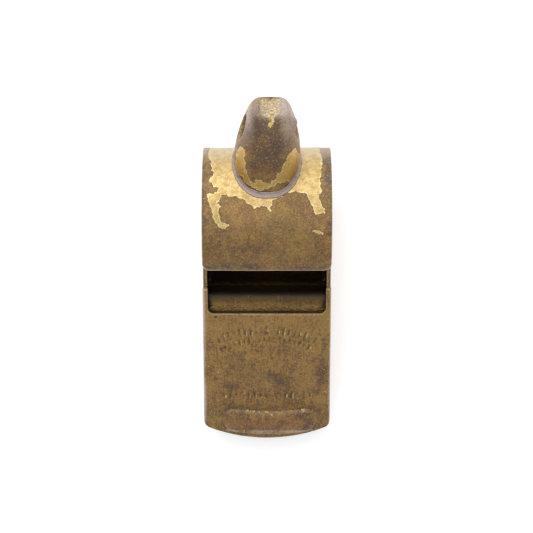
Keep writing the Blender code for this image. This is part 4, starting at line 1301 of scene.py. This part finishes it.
FLOOR_DROP = 0.02 * MM  # the floor lies this far under the whistle
BACK_LIGHT_SIDE, BACK_LIGHT_PLACE = 0.7, (-0.1, 0.75, 0.5)
TOP_LIGHT_SIDE, TOP_LIGHT_PLACE = 0.8, (-0.15, 0.1, 0.9)


def add_light(name, watts, side, place):
    """A square area light that faces the whistle."""
    data = bpy.data.lights.new(name, "AREA")
    data.energy, data.size = watts, side
    light = bpy.data.objects.new(name, data)
    light.location = place
    light.rotation_euler = (-Vector(place)).to_track_quat("-Z", "Y").to_euler()
    bpy.context.scene.collection.objects.link(light)


def build_stage(sizes, studio, colours):
    """A pale floor, a pale surround, two large lights and a camera straight above."""
    half = studio.floor_side / 2
    corners = [(-half, -half), (half, -half), (half, half), (-half, half)]
    mesh = bpy.data.meshes.new("floor")
    mesh.from_pydata([(x, y, -FLOOR_DROP) for x, y in corners], [], [(0, 1, 2, 3)])
    shader = Shader("pale_floor")
    shader.surface.inputs["Emission Color"].default_value = (1, 1, 1, 1)
    shader.surface.inputs["Emission Strength"].default_value = studio.floor_glow
    mesh.materials.append(shader.finish(tuple(colours.floor), 0.9, 0.0))
    floor = bpy.data.objects.new("floor", mesh)
    bpy.context.scene.collection.objects.link(floor)

    world = bpy.data.worlds.new("surround")
    world.use_nodes = True
    world.node_tree.nodes["Background"].inputs["Color"].default_value = (1, 1, 1, 1)
    world.node_tree.nodes["Background"].inputs["Strength"].default_value = studio.world
    bpy.context.scene.world = world
    bpy.context.scene.view_settings.view_transform = "Standard"
    add_light("back_light", studio.back_light, BACK_LIGHT_SIDE, BACK_LIGHT_PLACE)
    add_light("top_light", studio.top_light, TOP_LIGHT_SIDE, TOP_LIGHT_PLACE)

    data = bpy.data.cameras.new("camera")
    data.sensor_width = 36.0
    data.lens = data.sensor_width * studio.camera_height / (studio.view_scale * sizes.body_width)
    data.clip_start = 0.01
    camera = bpy.data.objects.new("camera", data)
    above = 2 * sizes.barrel_radius + studio.camera_height
    camera.location = (-studio.view_side, AXIS_Y - studio.view_shift, above)
    bpy.context.scene.collection.objects.link(camera)
    bpy.context.scene.camera = camera


# The add-on --------------------------------------------------------------------------------------------


class WHISTLE_OT_barrel(Operator):
    """Build the barrel, its lip and the mouthpiece's floor"""

    bl_idname = "whistle.barrel"
    bl_label = "Barrel and floor"

    def execute(self, context):
        build_barrel(context.scene.whistle_sizes, context.scene.whistle_colours)
        return {"FINISHED"}


class WHISTLE_OT_mouthpiece_top(Operator):
    """Build the mouthpiece's top with its tooth grip and arms"""

    bl_idname = "whistle.mouthpiece_top"
    bl_label = "Mouthpiece top"

    def execute(self, context):
        build_mouthpiece_top(context.scene.whistle_sizes, context.scene.whistle_colours)
        return {"FINISHED"}


class WHISTLE_OT_side_plates(Operator):
    """Build the two flat sides"""

    bl_idname = "whistle.side_plates"
    bl_label = "Side plates"

    def execute(self, context):
        for side in (-1, 1):
            build_side_plate(context.scene.whistle_sizes, context.scene.whistle_colours, side)
        return {"FINISHED"}


class WHISTLE_OT_windway(Operator):
    """Build the windway ramp under the window"""

    bl_idname = "whistle.windway"
    bl_label = "Windway ramp"

    def execute(self, context):
        build_ramp(context.scene.whistle_sizes, context.scene.whistle_colours)
        return {"FINISHED"}


class WHISTLE_OT_loop(Operator):
    """Build the hanging loop with its hole and worn top"""

    bl_idname = "whistle.loop"
    bl_label = "Hanging loop"

    def execute(self, context):
        scene = context.scene
        build_loop(scene.whistle_sizes, scene.whistle_loop, scene.whistle_colours)
        return {"FINISHED"}


class WHISTLE_OT_solder(Operator):
    """Build the solder round the loop and finish the solder inside"""

    bl_idname = "whistle.solder"
    bl_label = "Solder"

    def execute(self, context):
        scene = context.scene
        build_loop_solder(scene.whistle_sizes, scene.whistle_loop, scene.whistle_colours)
        material = dull_solder("seam_solder", scene.whistle_colours, 0.45)
        for place in ("barrel", "mouthpiece"):
            for side in ("left", "right"):
                mesh = frame["nodes"][f"{place}_seam_{side}"].data
                mesh.materials.clear()
                mesh.materials.append(material)
        return {"FINISHED"}


class WHISTLE_OT_pea(Operator):
    """Build the cork pea"""

    bl_idname = "whistle.pea"
    bl_label = "Cork pea"

    def execute(self, context):
        build_pea(context.scene.whistle_loop, context.scene.whistle_colours)
        return {"FINISHED"}


class WHISTLE_OT_stage(Operator):
    """Set up the floor, the lights and the camera"""

    bl_idname = "whistle.stage"
    bl_label = "Stage"

    def execute(self, context):
        scene = context.scene
        build_stage(scene.whistle_sizes, scene.whistle_studio, scene.whistle_colours)
        return {"FINISHED"}


STEPS = (
    WHISTLE_OT_stage,
    WHISTLE_OT_barrel,
    WHISTLE_OT_mouthpiece_top,
    WHISTLE_OT_side_plates,
    WHISTLE_OT_windway,
    WHISTLE_OT_loop,
    WHISTLE_OT_solder,
    WHISTLE_OT_pea,
)


class WHISTLE_PT_build(Panel):
    """Lists the whistle's building steps"""

    bl_label = "Pea Whistle"
    bl_space_type = "VIEW_3D"
    bl_region_type = "UI"
    bl_category = "Whistle"

    def draw(self, context):
        for step in STEPS:
            self.layout.operator(step.bl_idname)


GROUPS = {
    "whistle_sizes": WhistleSizes,
    "whistle_loop": LoopSizes,
    "whistle_colours": WhistleColours,
    "whistle_studio": StudioSizes,
}


def register():
    for cls in (*GROUPS.values(), *STEPS, WHISTLE_PT_build):
        bpy.utils.register_class(cls)
    for name, group in GROUPS.items():
        setattr(bpy.types.Scene, name, PointerProperty(type=group))


def unregister():
    for name in GROUPS:
        delattr(bpy.types.Scene, name)
    for cls in (WHISTLE_PT_build, *reversed(STEPS), *GROUPS.values()):
        bpy.utils.unregister_class(cls)


def main():
    register()
    for step in STEPS:
        group, name = step.bl_idname.split(".")
        getattr(getattr(bpy.ops, group), name)()


if __name__ == "__main__":
    main()
